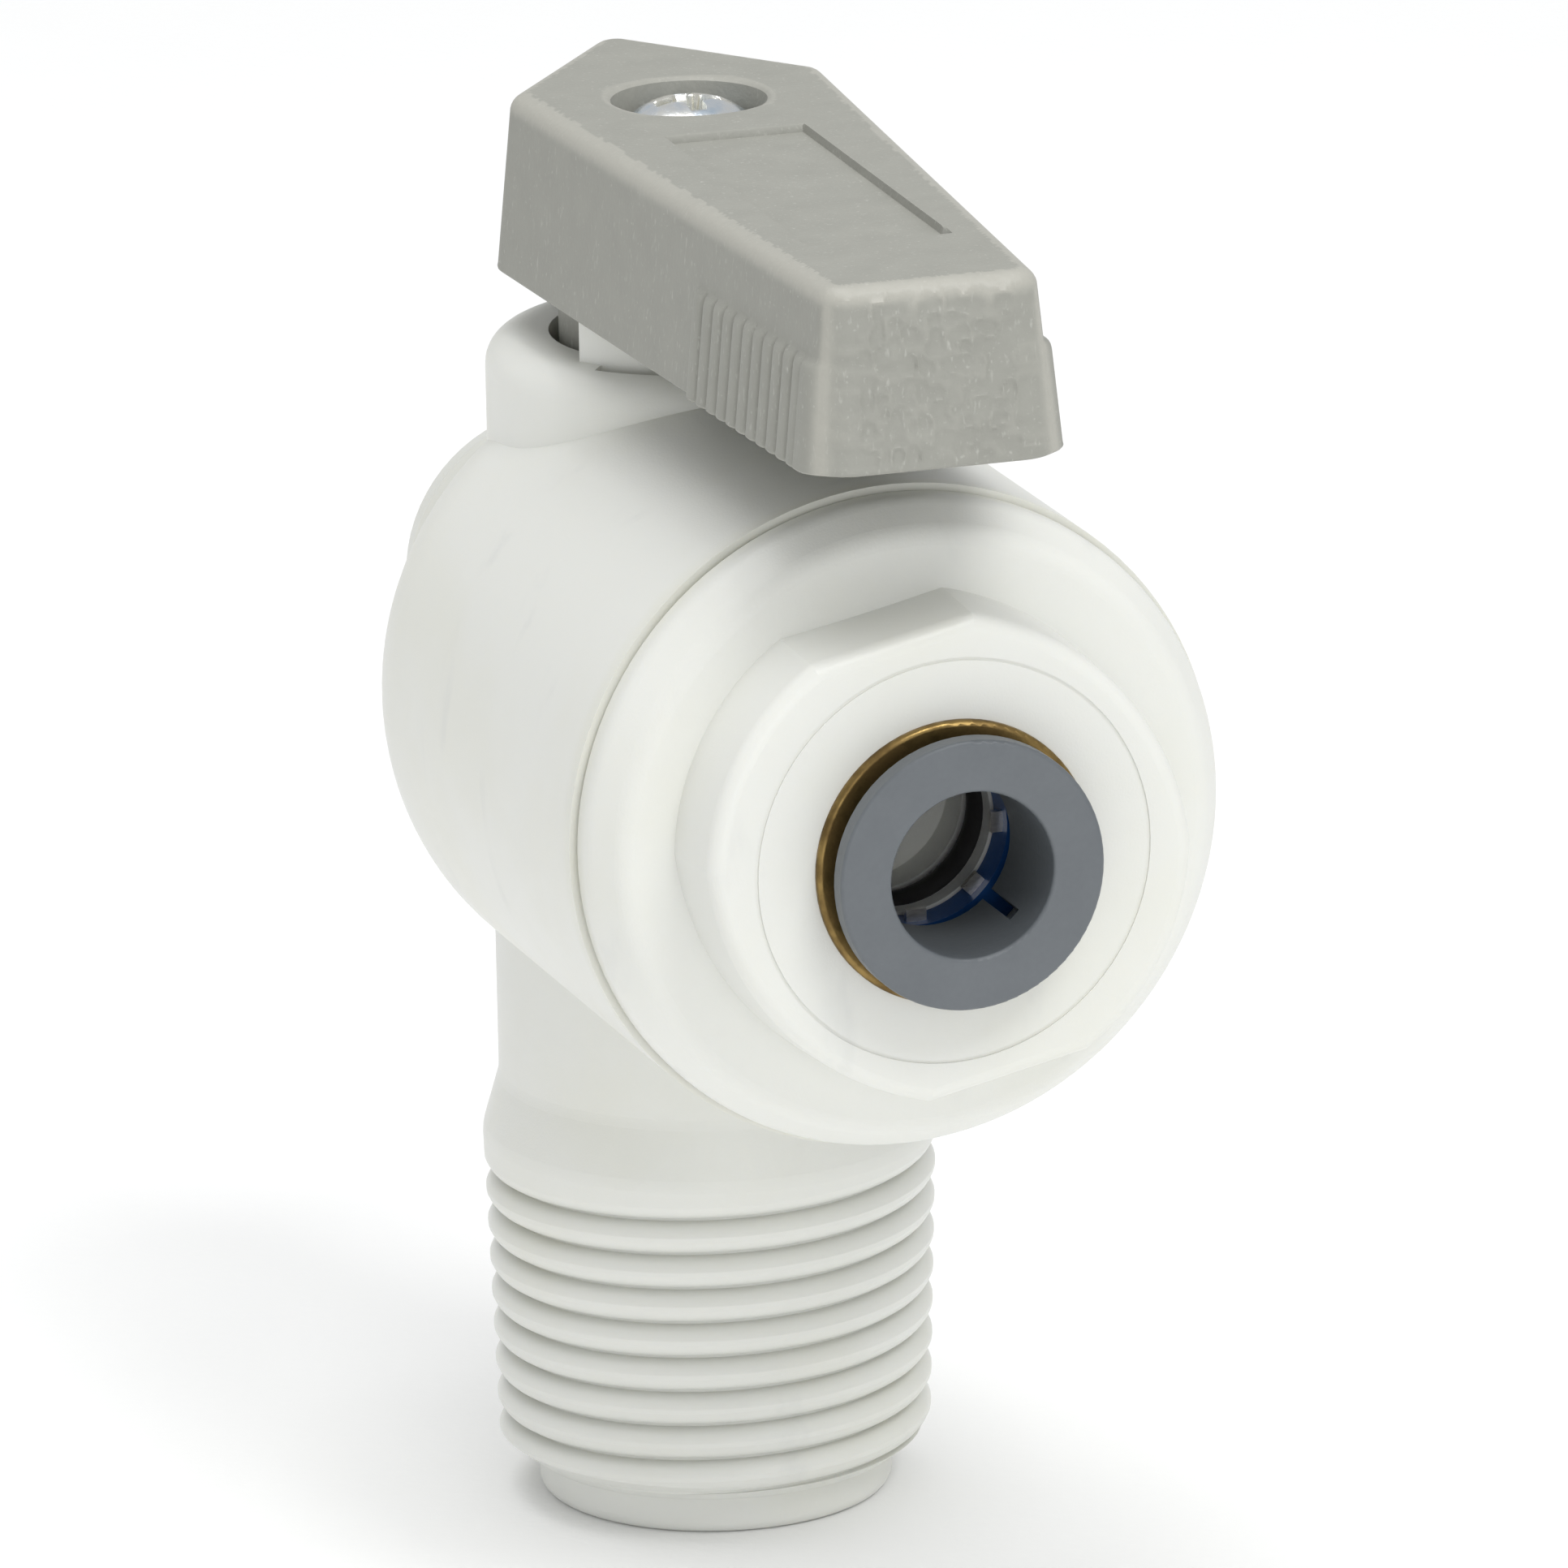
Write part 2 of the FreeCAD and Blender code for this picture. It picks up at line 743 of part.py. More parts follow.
def stem_seal(name, groove):
    loop = torus(name, "seal_groove + stem_seal_section", "stem_seal_section")
    return place(loop, z=f"ball_height + {groove} + groove_width / 2")


# --- Handle and screw -------------------------------------------------------------------------


def side_half(y, spare="0"):
    """Half the lever's width at a distance along it, at its top."""
    slope = "(shoulder_half - tip_half) / (shoulder_y - tip_y)"
    return f"(shoulder_half - (shoulder_y - ({y})) * {slope} + {spare})"


def lever():
    """The drafted lever, with its upright corners and its top rim rounded."""
    body = doc.addObject("PartDesign::Body", "lever_blank")
    wide = "(shoulder_half + side_draft)"
    slim = "(tip_half + side_draft)"
    corners = [
        (f"-{slim}", "tip_y - side_draft / 2"),
        (slim, "tip_y - side_draft / 2"),
        (wide, "shoulder_y"),
        ("0", "apex_y + side_draft"),
        (f"-{wide}", "shoulder_y"),
    ]
    plan = outline(body, "lever_plan", "XY_Plane", corners, "handle_base")
    pad = body.newObject("PartDesign::Pad", "lever_pad")
    pad.Profile = plan
    bind(pad, Length="handle_top - handle_base")
    pad.TaperAngle = -math.degrees(math.atan(value("side_draft / (handle_top - handle_base)")))
    doc.recompute()
    top = value("handle_top")
    radii = {1: value("plan_round"), 2: value("edge_round")}
    edges = []
    for i, edge in enumerate(body.Shape.Edges, start=1):
        high_ends = sum(abs(vertex.Point.z - top) < 1e-3 for vertex in edge.Vertexes)
        if high_ends:
            edges.append((i, radii[high_ends], radii[high_ends]))
    soft = doc.addObject("Part::Fillet", "lever")
    soft.Base = body
    soft.Edges = edges
    doc.recompute()
    return place(soft, turn=WITH_HANDLE)


def grip_rib(name, side, y):
    """One upright half-round rib that follows the draft of the lever's side."""
    rise = "(grip_top - handle_base)"
    depth = "(handle_top - handle_base)"
    low = value(side_half(y, "side_draft - grip_sink"))
    high = value(side_half(y, f"side_draft * (1 - {rise} / {depth}) - grip_sink"))
    foot = FreeCAD.Vector(side * low, value(y), value("handle_base"))
    head = FreeCAD.Vector(side * high, value(y), value("grip_top"))
    rib = doc.addObject("Part::Cylinder", name)
    bind(rib, Radius="grip_radius")
    rib.Height = (head - foot).Length
    swing = FreeCAD.Rotation(FreeCAD.Vector(0, 0, 1), value("handle_angle"))
    lean = FreeCAD.Rotation(FreeCAD.Vector(0, 0, 1), head - foot)
    lift = FreeCAD.Vector(0, 0, value("ball_height"))
    rib.Placement = FreeCAD.Placement(swing.multVec(foot) + lift, swing.multiply(lean))
    return rib


def grip_ribs():
    ribs = []
    for side, word in ((-1, "left"), (1, "right")):
        for i in range(GRIP_RIBS):
            ribs.append(grip_rib(f"grip_rib_{word}_{i}", side, f"grip_first - {i} * grip_pitch"))
    return ribs


def lever_hollow(name, side):
    """One of the two hollows under the lever, either side of its middle web."""
    near, far = "hollow_near", "hollow_far"
    body = doc.addObject("PartDesign::Body", name)
    corners = [
        ("hollow_web", far),
        (side_half(far, "-hollow_wall"), far),
        (side_half(near, "-hollow_wall"), near),
        ("hollow_web", near),
    ]
    plan = outline(body, name + "_plan", "XY_Plane", corners, "handle_base - overrun")
    pad = body.newObject("PartDesign::Pad", name + "_pad")
    pad.Profile = plan
    bind(pad, Length="hollow_roof - handle_base + overrun")
    doc.recompute()
    if side > 0:
        return place(body, turn=WITH_HANDLE)
    mirror = doc.addObject("Part::Mirroring", name + "_mirrored")
    mirror.Source = body
    mirror.Normal = FreeCAD.Vector(1, 0, 0)
    return place(mirror, turn=WITH_HANDLE)


def handle():
    """The lever with its hub, stop rib, grips, screw recess, panel and hollows."""
    hub = cylinder("hub", "hub_radius", "hub_base", "handle_base + overrun")
    stop = sector(
        "stop_rib",
        "stop_inner",
        "stop_outer",
        "stop_base",
        "handle_base + stop_root",
        "lug_start + lug_sweep - handle_angle + stop_gap",
        "180 - lug_sweep + 2 * handle_angle - 2 * stop_gap",
        WITH_HANDLE,
    )
    solid = fuse("handle_solid", lever(), hub, stop, *grip_ribs())
    recess = cylinder("screw_recess_cut", "screw_recess", "screw_seat", "handle_top + overrun")
    hole = cylinder("screw_hole", "screw_shank + screw_gap", "stem_top", "handle_top")
    rod = cylinder("socket_rod", "stem_radius + socket_gap", "hub_base - overrun", "stem_top + socket_head")
    flats = block(
        "socket_flats",
        ("-flat_half - socket_gap", "flat_half + socket_gap"),
        ("-stem_flange", "stem_flange"),
        ("hub_base - overrun", "stem_top + socket_head"),
        WITH_HANDLE,
    )
    collar = cylinder("socket_collar", "stem_radius + socket_gap", "hub_base - overrun", "flat_start")
    socket = doc.addObject("Part::Common", "stem_socket")
    socket.Base = rod
    socket.Tool = flats
    panel = block(
        "panel",
        ("-panel_half", "panel_half"),
        ("panel_far", "panel_near"),
        ("handle_top - panel_depth", "handle_top + overrun"),
        WITH_HANDLE,
    )
    hollows = [lever_hollow("left_hollow", -1), lever_hollow("right_hollow", 1)]
    return cut("handle", solid, recess, hole, socket, collar, panel, *hollows)


def handle_screw():
    """A pan head screw with a cross recess."""
    blank = turned(
        "screw_blank",
        [
            ("0", "screw_end"),
            ("screw_shank", "screw_end"),
            ("screw_shank", "screw_seat"),
            ("screw_head", "screw_seat"),
            ("screw_head", "screw_edge"),
            ("crown_radius", "screw_crown"),
            ("0", "screw_crown"),
        ],
    )
    dress(blank, "Fillet", "screw_round", ("screw_head", "screw_edge"), ("crown_radius", "screw_crown"))
    place(blank, turn=WITH_HANDLE)
    reach = ("-cross_reach", "cross_reach")
    half = ("-cross_half", "cross_half")
    depth = ("screw_crown - cross_depth", "screw_crown + overrun")
    return cut(
        "handle_screw",
        blank,
        block("cross_slot_x", reach, half, depth, WITH_HANDLE),
        block("cross_slot_y", half, reach, depth, WITH_HANDLE),
    )


# --- Port cartridge ---------------------------------------------------------------------------


def group_around(name, pieces):
    whole = doc.addObject("Part::Compound", name)
    whole.Links = pieces
    doc.recompute()
    return whole


def gripper_teeth(name):
    """Flat steel teeth spaced evenly round the port's axis, each tip just inside the ring."""
    teeth = []
    for i in range(TEETH):
        tooth = doc.addObject("Part::Box", f"{name}_{i}")
        bind(tooth, Length="tooth_root - tooth_tip", Width="2 * tooth_half", Height="tooth_gauge")
        spin = FreeCAD.Rotation(FreeCAD.Vector(0, 0, 1), 360.0 * i / TEETH)
        corner = FreeCAD.Vector(value("tooth_tip"), -value("tooth_half"), value("tooth_middle"))
        tooth.Placement = FreeCAD.Placement(spin.multVec(corner), spin)
        teeth.append(tooth)
    return group_around(name, teeth)


def leg_slots(name):
    slots = []
    for i in range(LEG_SLOTS):
        slot = doc.addObject("Part::Box", f"{name}_{i}")
        bind(slot, Length="collet_flange", Width="2 * leg_slot_half", Height="-collet_back + overrun")
        spin = FreeCAD.Rotation(FreeCAD.Vector(0, 0, 1), 360.0 * (i + 0.5) / LEG_SLOTS)
        corner = FreeCAD.Vector(0, -value("leg_slot_half"), value("collet_back - overrun"))
        slot.Placement = FreeCAD.Placement(spin.multVec(corner), spin)
        slots.append(slot)
    return group_around(name, slots)


def cartridge(side, mouth, outward, turn):
    """One port's cartridge, from the brass ring in its mouth to the seal behind the gripper."""

    def lay(piece):
        return place(piece, y=f"{outward} * {mouth}", turn=turn)

    retaining = turned(
        f"{side}_ring_body",
        [
            ("ring_inner", "ring_back"),
            ("ring_outer", "ring_back"),
            ("ring_outer", "0"),
            ("ring_lip", "0"),
            ("ring_lip", "ring_lip_back"),
            ("ring_inner", "ring_lip_back"),
        ],
    )
    dress(retaining, "Fillet", "ring_round", ("ring_outer", "0"), ("ring_lip", "0"))
    keep(f"{side}_retaining_ring", lay(retaining))

    blank = turned(
        f"{side}_collet_body",
        [
            ("collet_bore", "collet_back"),
            ("collet_end", "collet_back"),
            ("collet_barb", "barb_back"),
            ("collet_barb", "barb_front"),
            ("collet_sleeve", "barb_front"),
            ("collet_sleeve", "flange_back"),
            ("collet_flange", "flange_back"),
            ("collet_flange", "collet_face"),
            ("collet_bore", "collet_face"),
        ],
    )
    rim, mouth_rim = ("collet_flange", "collet_face"), ("collet_bore", "collet_face")
    dress(blank, "Fillet", "collet_round", rim, mouth_rim)
    keep(f"{side}_release_collet", lay(cut(f"{side}_collet", blank, leg_slots(f"{side}_legs"))))

    teeth = gripper_teeth(f"{side}_teeth")
    hoop = ring(f"{side}_grip_hoop", "grip_inner", "ring_inner", "grip_back", "grip_front")
    keep(f"{side}_gripper_ring", lay(cut(f"{side}_grip", hoop, teeth)))
    keep(f"{side}_gripper_teeth", lay(gripper_teeth(f"{side}_kept_teeth")))

    washer = ring(f"{side}_backup", "backup_inner", "ring_inner", "backup_back", "backup_front")
    keep(f"{side}_backup_washer", lay(washer))

    seal = torus(f"{side}_seal", "ring_inner - tube_seal_section", "tube_seal_section")
    gap = "(seal_bore_end + backup_back) / 2"
    keep(f"{side}_tube_oring", place(seal, y=f"{outward} * ({mouth} + {gap})", turn=turn))


# --- The pieces and their files ---------------------------------------------------------------

NODES = {}


def keep(label, piece):
    piece.Label = label
    NODES[label] = piece
    return piece


keep("valve_body", valve_body())
keep("front_cap", front_cap())
cap_seal = torus("cap_seal", "cap_groove_floor + cap_seal_section", "cap_seal_section")
keep("cap_oring", place(cap_seal, y="-(cap_groove_start + cap_groove_end) / 2", turn=FRONT))
keep("ball", ball())
keep("seat_front", seat("front_seat", FRONT))
keep("seat_rear", seat("rear_seat", REAR))
keep("seat_oring_front", seat_seal("front_seat_seal", -1, FRONT))
keep("seat_oring_rear", seat_seal("rear_seat_seal", 1, REAR))
keep("stem", stem())
washer = ring("washer", "stem_radius", "washer_pocket - washer_gap", "washer_low", "washer_high")
keep("stem_thrust_washer", place(washer))
keep("stem_oring_lower", stem_seal("lower_stem_seal", "low_groove"))
keep("stem_oring_upper", stem_seal("upper_stem_seal", "high_groove"))
keep("handle", handle())
keep("handle_screw", handle_screw())
cartridge("front", "front_mouth", -1, FRONT)
cartridge("rear", "rear_mouth", 1, REAR)
doc.recompute()

for thing in doc.Objects:
    if "Invalid" in thing.State or "Error" in thing.State:
        raise RuntimeError(f"{thing.Name} is {thing.State}")
for label, piece in NODES.items():
    if piece.Shape.isNull() or not piece.Shape.isValid():
        raise RuntimeError(f"{label} has no sound shape")

os.makedirs("parts", exist_ok=True)
for label, piece in NODES.items():
    piece.Shape.exportStep(f"parts/{label}.step")
    print(label, len(piece.Shape.Solids), round(piece.Shape.Volume, 2))
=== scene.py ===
import bmesh
import bpy
import json
import math
import numpy as np
from mathutils import Matrix, Vector


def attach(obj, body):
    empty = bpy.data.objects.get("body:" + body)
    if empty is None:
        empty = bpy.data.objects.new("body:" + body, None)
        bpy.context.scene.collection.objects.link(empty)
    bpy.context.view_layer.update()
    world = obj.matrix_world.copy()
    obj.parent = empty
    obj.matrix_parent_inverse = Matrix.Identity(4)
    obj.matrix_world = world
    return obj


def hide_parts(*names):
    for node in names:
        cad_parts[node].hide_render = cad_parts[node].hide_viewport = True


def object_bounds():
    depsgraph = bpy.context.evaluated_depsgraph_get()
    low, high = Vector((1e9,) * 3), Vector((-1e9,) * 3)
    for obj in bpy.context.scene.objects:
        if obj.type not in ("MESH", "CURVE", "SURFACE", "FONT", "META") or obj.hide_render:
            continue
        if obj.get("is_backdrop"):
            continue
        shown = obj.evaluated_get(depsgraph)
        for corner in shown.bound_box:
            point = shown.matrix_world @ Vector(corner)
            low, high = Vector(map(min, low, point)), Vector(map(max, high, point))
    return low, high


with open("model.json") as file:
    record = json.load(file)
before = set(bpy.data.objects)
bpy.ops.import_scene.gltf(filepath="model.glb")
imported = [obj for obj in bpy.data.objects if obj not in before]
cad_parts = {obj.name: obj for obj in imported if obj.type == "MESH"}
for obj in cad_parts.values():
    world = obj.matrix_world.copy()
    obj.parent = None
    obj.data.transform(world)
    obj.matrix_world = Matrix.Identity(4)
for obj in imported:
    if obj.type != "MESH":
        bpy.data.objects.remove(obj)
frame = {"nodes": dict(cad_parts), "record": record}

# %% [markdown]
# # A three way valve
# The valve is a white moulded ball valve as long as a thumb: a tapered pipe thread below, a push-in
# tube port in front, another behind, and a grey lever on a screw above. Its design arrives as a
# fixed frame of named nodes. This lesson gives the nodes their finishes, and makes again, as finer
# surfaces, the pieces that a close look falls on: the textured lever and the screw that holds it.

MM = 0.001
cad_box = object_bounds()
nodes = frame["nodes"]
mount_places = {mount["name"]: mount["pos_m"] for mount in frame["record"]["mounts"]}
BALL_HEIGHT = mount_places["front_tube_port"][2] / MM
print("the ball's centre is", round(BALL_HEIGHT, 2), "mm above the nose;", len(nodes), "nodes")

# %% [markdown]
# ## The camera
# The valve is seen from a little to its left and a little above, through a long lens from over half
# a metre away, so its edges hardly converge. The camera is placed by the direction it looks in and
# by how far the ball's centre lies from the middle of the picture, so it needs no shift.

# %% The camera
LENS = 346.03
DISTANCE = 584.5
AZIMUTH = math.radians(-19.49)
ELEVATION = math.radians(16.37)
ROLL = math.radians(-1.054)
ASIDE, BELOW = 3.245, -4.460

away = Vector(
    (
        math.sin(AZIMUTH) * math.cos(ELEVATION),
        -math.cos(AZIMUTH) * math.cos(ELEVATION),
        math.sin(ELEVATION),
    )
)
level = Vector((math.cos(AZIMUTH), math.sin(AZIMUTH), 0))
upward = away.cross(level)
right = level * math.cos(ROLL) + upward * math.sin(ROLL)
up = upward * math.cos(ROLL) - level * math.sin(ROLL)

camera = bpy.data.objects.new("camera", bpy.data.cameras.new("camera"))
camera.data.lens = LENS
camera.data.clip_start = 0.01
spot = Vector((0, 0, BALL_HEIGHT)) + right * ASIDE + up * BELOW + away * DISTANCE
turn = Matrix((right, up, away)).transposed().to_4x4()
camera.matrix_world = Matrix.Translation(spot * MM) @ turn
bpy.context.scene.collection.objects.link(camera)
bpy.context.scene.camera = camera
print("camera", [round(number, 3) for number in camera.matrix_world.translation])

# %% [markdown]
# ## Light and floor
# White plastic on a white ground keeps its shape only if the light is soft but not even. One key
# lamp stands ahead, high and to the right, another overhead models the lever's top, and a weak one
# low in front reaches the thread under the barrel. The world is pale and fills the shadows. The
# floor is a plain pale sheet.

# %% Light and floor
bpy.context.scene.view_settings.view_transform = "Standard"

LAMPS = {
    "key": ((0.16, -0.46, 0.66), 0.30, 2.2),
    "overhead": ((-0.10, 0.05, 0.75), 0.50, 2.5),
    "low_front": ((-0.10, -0.75, 0.10), 0.40, 0.9),
}


def soft_lamp(name, place, width, watts):
    """A square area lamp that faces the middle of the valve."""
    lamp = bpy.data.lights.new(name, "AREA")
    lamp.size = width
    lamp.energy = watts
    holder = bpy.data.objects.new(name, lamp)
    aim = Vector((0, 0, BALL_HEIGHT * MM)) - Vector(place)
    holder.rotation_euler = aim.to_track_quat("-Z", "Y").to_euler()
    holder.location = place
    bpy.context.scene.collection.objects.link(holder)


for name, (place, width, watts) in LAMPS.items():
    soft_lamp(name, place, width, watts)

world = bpy.data.worlds.new("studio")
world.use_nodes = True
world.node_tree.nodes["Background"].inputs["Color"].default_value = (0.98, 0.99, 1.0, 1.0)
world.node_tree.nodes["Background"].inputs["Strength"].default_value = 0.56
bpy.context.scene.world = world

FLOOR_HALF = 3.0
floor_mesh = bpy.data.meshes.new("floor")
floor_corners = [(x, y, 0.0) for x, y in ((-1, -1), (1, -1), (1, 1), (-1, 1))]
floor_mesh.from_pydata(np.array(floor_corners) * FLOOR_HALF, [], [(0, 1, 2, 3)])
floor = bpy.data.objects.new("floor", floor_mesh)
bpy.context.scene.collection.objects.link(floor)
floor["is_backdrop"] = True
print("lamps", list(LAMPS))

# %% [markdown]
# ## Shader sums written as Python
# A node tree is easier to read as arithmetic. A Wire is one output of a node, and adding,
# multiplying or comparing wires adds the Math node that does it. Every other node comes from the
# one method `add`, which takes the node's type, what its sockets hold and its settings.


# %% The wire class
class Wire:
    """One output socket of a material's tree. Arithmetic on wires adds Math nodes."""

    def __init__(self, tree, socket=None):
        self.tree, self.socket = tree, socket

    def add(self, kind, sockets=(), out=0, stops=None, **settings):
        """A new node with its settings made first, then its sockets filled or linked."""
        node = self.tree.nodes.new(kind)
        for name, setting in settings.items():
            setattr(node, name, setting)
        if stops:
            ramp = node.color_ramp
            for place, tone in stops[1:-1]:
                ramp.elements.new(place).color = tone
            ramp.elements[0].position, ramp.elements[0].color = stops[0]
            ramp.elements[-1].position, ramp.elements[-1].color = stops[-1]
        for name, content in dict(sockets).items():
            if isinstance(content, Wire):
                self.tree.links.new(content.socket, node.inputs[name])
            else:
                node.inputs[name].default_value = content
        return Wire(self.tree, node.outputs[out])

    def maths(self, operation, *values):
        return self.add("ShaderNodeMath", enumerate(values), operation=operation)

    def __add__(self, other):
        return self.maths("ADD", self, other)

    def __radd__(self, other):
        return self.maths("ADD", other, self)

    def __sub__(self, other):
        return self.maths("SUBTRACT", self, other)

    def __rsub__(self, other):
        return self.maths("SUBTRACT", other, self)

    def __mul__(self, other):
        return self.maths("MULTIPLY", self, other)

    def __rmul__(self, other):
        return self.maths("MULTIPLY", other, self)

    def between(self, low, high):
        """0 below low, 1 above high, and an S-shaped rise from one to the other."""
        reach = {"Value": self, "From Min": low, "From Max": high}
        return self.add("ShaderNodeMapRange", reach, interpolation_type="SMOOTHSTEP")

    def tint(self, low, high):
        """A colour that goes from low to high as this wire goes from 0 to 1."""
        blend = {"Factor": self, 6: (*low, 1.0), 7: (*high, 1.0)}
        return self.add("ShaderNodeMix", blend, out=2, data_type="RGBA")

    def tint_over(self, under, tone):
        """Lays a colour over another wire's colour, as much as this wire says."""
        blend = {"Factor": self, 6: under, 7: (*tone, 1.0)}
        return self.add("ShaderNodeMix", blend, out=2, data_type="RGBA")


# %% [markdown]
# ## The parts that every finish shares
# A finish starts with an empty material and the object's own coordinates in millimetres, so that a
# grain size can be read straight off a ruler. `grain` is even noise, `streaks` is noise drawn out
# along one direction, and `close` joins colour, roughness and relief to the surface shader.


# %% Material helpers
def open_finish(name):
    """A new material with its surface shader, and a wire of object coordinates in millimetres."""
    material = bpy.data.materials.new(name)
    material.use_nodes = True
    start = Wire(material.node_tree)
    metres = start.add("ShaderNodeTexCoord", out=3)
    scale = {"Vector": metres, "Scale": (1 / MM, 1 / MM, 1 / MM)}
    return material, start.add("ShaderNodeMapping", scale)


def grain(place, size, detail=2.0, stretch=(1, 1, 1)):
    """Noise with bumps about so many millimetres across, drawn out along an axis by stretch."""
    if stretch != (1, 1, 1):
        shrink = tuple(1 / share for share in stretch)
        place = place.add("ShaderNodeMapping", {"Vector": place, "Scale": shrink})
    return place.add("ShaderNodeTexNoise", {"Vector": place, "Scale": 1 / size, "Detail": detail})


def close(material, place, colour, roughness, height, depth, **constants):
    """Feeds the surface shader. Height is a wire from 0 to 1, and depth its size in millimetres."""
    shader = material.node_tree.nodes["Principled BSDF"]
    relief = {"Height": height, "Distance": depth * MM, "Strength": 1.0}
    bump = place.add("ShaderNodeBump", relief)
    for name, wire in (("Base Color", colour), ("Roughness", roughness), ("Normal", bump)):
        material.node_tree.links.new(wire.socket, shader.inputs[name])
    for name, constant in constants.items():
        shader.inputs[name.replace("_", " ")].default_value = constant
    return material


def wear_and_highlight(place, low=0.15, high=0.9):
    """How pale each place is made: the piece's wear attribute, holding real wear and, on the lever's screw
    recess rim, a painted highlight, broken up by a fine grain.
    """
    wear = place.add("ShaderNodeAttribute", out=2, attribute_name="wear")
    return (wear * 0.9 + grain(place, 0.5) * 0.25 - 0.1).between(low, high)


# %% [markdown]
# ## White moulded plastic
# The body and the cap are one warm white acetal. It lets a little light in, so the shadows in its
# folds stay pale: that is the subsurface share. Its colour drifts slightly yellow in patches and
# along the weld between body and cap, and faint grey scuffs mark the barrel where hands turn it.


# %% White plastic
SEAM_PLACE = -21.75


def white_plastic():
    material, place = open_finish("white_plastic")
    along = place.add("ShaderNodeSeparateXYZ", {"Vector": place}, out=1)
    offset = along - SEAM_PLACE
    weld = 1 - offset.maths("ABSOLUTE", offset).between(0.1, 1.1)
    patches = grain(place, 9.0, 3.0).between(0.45, 0.75)
    scuffs = grain(place, 2.6, 5.0, (1, 1, 3)).between(0.62, 0.78) * 0.35
    clean = (patches * 0.5 + weld * 0.6).tint((0.755, 0.760, 0.720), (0.725, 0.725, 0.650))
    colour = scuffs.tint_over(clean, (0.62, 0.63, 0.61))
    roughness = 0.33 + grain(place, 1.5, 3.0) * 0.14
    pores = grain(place, 0.10, 2.0) * 0.5 + grain(place, 1.8, 2.0) * 0.5
    return close(
        material,
        place,
        colour,
        roughness,
        pores,
        0.012,
        Subsurface_Weight=0.12,
        Subsurface_Radius=(1.0, 0.9, 0.7),
        Subsurface_Scale=0.0012,
        IOR=1.48,
    )


# %% [markdown]
# ## Grey lever plastic
# The lever is glass-filled nylon in a spark-eroded mould: a dull grey, with short pale fibres lying
# near its skin, and a pebbled end. Handling polishes its edges paler, so the mesh carries a number
# called wear that is 1 along them. The same number also holds a painted highlight: a pale band round
# the rim of the screw's recess.


# %% Lever plastic
def lever_plastic():
    material, place = open_finish("lever_plastic")
    mottle = grain(place, 1.6, 4.0)
    fibres = grain(place, 0.16, 2.0, (1, 1, 3.5)).between(0.60, 0.80)
    specks = grain(place, 0.22, 1.0).between(0.68, 0.82)
    ground = mottle.tint((0.275, 0.275, 0.245), (0.335, 0.335, 0.300))
    fibred = (fibres * 0.50 + specks * 0.45).tint_over(ground, (0.50, 0.50, 0.46))
    # Paler with wear, and paler on the screw recess's rim as a painted highlight.
    colour = (wear_and_highlight(place) * 0.70).tint_over(fibred, (0.46, 0.45, 0.40))
    roughness = 0.52 + mottle * 0.12 - wear_and_highlight(place) * 0.12
    relief = grain(place, 0.20, 2.0) * 0.6 + grain(place, 0.45, 1.0) * 0.4
    return close(material, place, colour, roughness, relief, 0.030, IOR=1.5)


# %% [markdown]
# ## Metals
# The screw is zinc plated and passivated, which gives a bright surface with a breath of blue and
# yellow in it. The ring in each port's mouth is brass that has gone brown, rubbed bright on its lip.
# The gripper's teeth are stamped from spring strip, which shows fine rolling lines.


# %% Metals
def zinc_plated_steel():
    material, place = open_finish("zinc_plated_steel")
    film = grain(place, 1.1, 2.0)
    tones = [(0.3, (0.62, 0.72, 0.82, 1)), (0.5, (0.80, 0.83, 0.85, 1)), (0.7, (0.86, 0.84, 0.76, 1))]
    colour = film.add("ShaderNodeValToRGB", {"Fac": film}, stops=tones)
    roughness = 0.16 + grain(place, 0.3, 3.0) * 0.18
    return close(material, place, colour, roughness, grain(place, 0.12), 0.006, Metallic=1.0)


def aged_brass():
    material, place = open_finish("aged_brass")
    tarnish = grain(place, 0.9, 5.0).between(0.3, 0.7)
    dull = tarnish.tint((0.30, 0.205, 0.075), (0.16, 0.105, 0.04))
    colour = (wear_and_highlight(place) * 0.6).tint_over(dull, (0.62, 0.44, 0.17))
    roughness = 0.30 + tarnish * 0.22
    return close(material, place, colour, roughness, grain(place, 0.15), 0.006, Metallic=1.0)


def spring_steel():
    material, place = open_finish("spring_steel")
    lines = grain(place, 0.05, 1.0, (6, 1, 1))
    colour = lines.tint((0.66, 0.65, 0.63), (0.90, 0.89, 0.86))
    return close(material, place, colour, 0.22 + lines * 0.2, lines, 0.004, Metallic=1.0)


# %% [markdown]
# ## Small plastics and rubber
# These differ only in their colours, their gloss and how coarse their skin is, so one function makes
# them all from a short table: dark tone, light tone, grain in millimetres, roughness and relief.

# %% Small plastics and rubber
PLAIN_FINISHES = {
    "collet_plastic": ((0.100, 0.112, 0.123), (0.140, 0.153, 0.165), 0.8, 0.36, 0.010),
    "gripper_plastic": ((0.006, 0.050, 0.20), (0.015, 0.11, 0.38), 0.9, 0.30, 0.006),
    "black_rubber": ((0.012, 0.012, 0.012), (0.030, 0.029, 0.028), 0.4, 0.55, 0.010),
    "seat_plastic": ((0.76, 0.76, 0.73), (0.84, 0.84, 0.82), 0.7, 0.38, 0.006),
    "ball_plastic": ((0.70, 0.69, 0.64), (0.78, 0.77, 0.73), 1.5, 0.24, 0.004),
    "backup_plastic": ((0.62, 0.62, 0.58), (0.72, 0.72, 0.69), 0.9, 0.42, 0.008),
}


def plain_finish(name, dark, light, size, gloss, depth):
    material, place = open_finish(name)
    cloud = grain(place, size * 2.5, 3.0)
    relief = grain(place, size * 0.3, 2.0)
    colour = (cloud * 0.7 + relief * 0.3).tint(dark, light)
    return close(material, place, colour, gloss + cloud * 0.14, relief, depth)


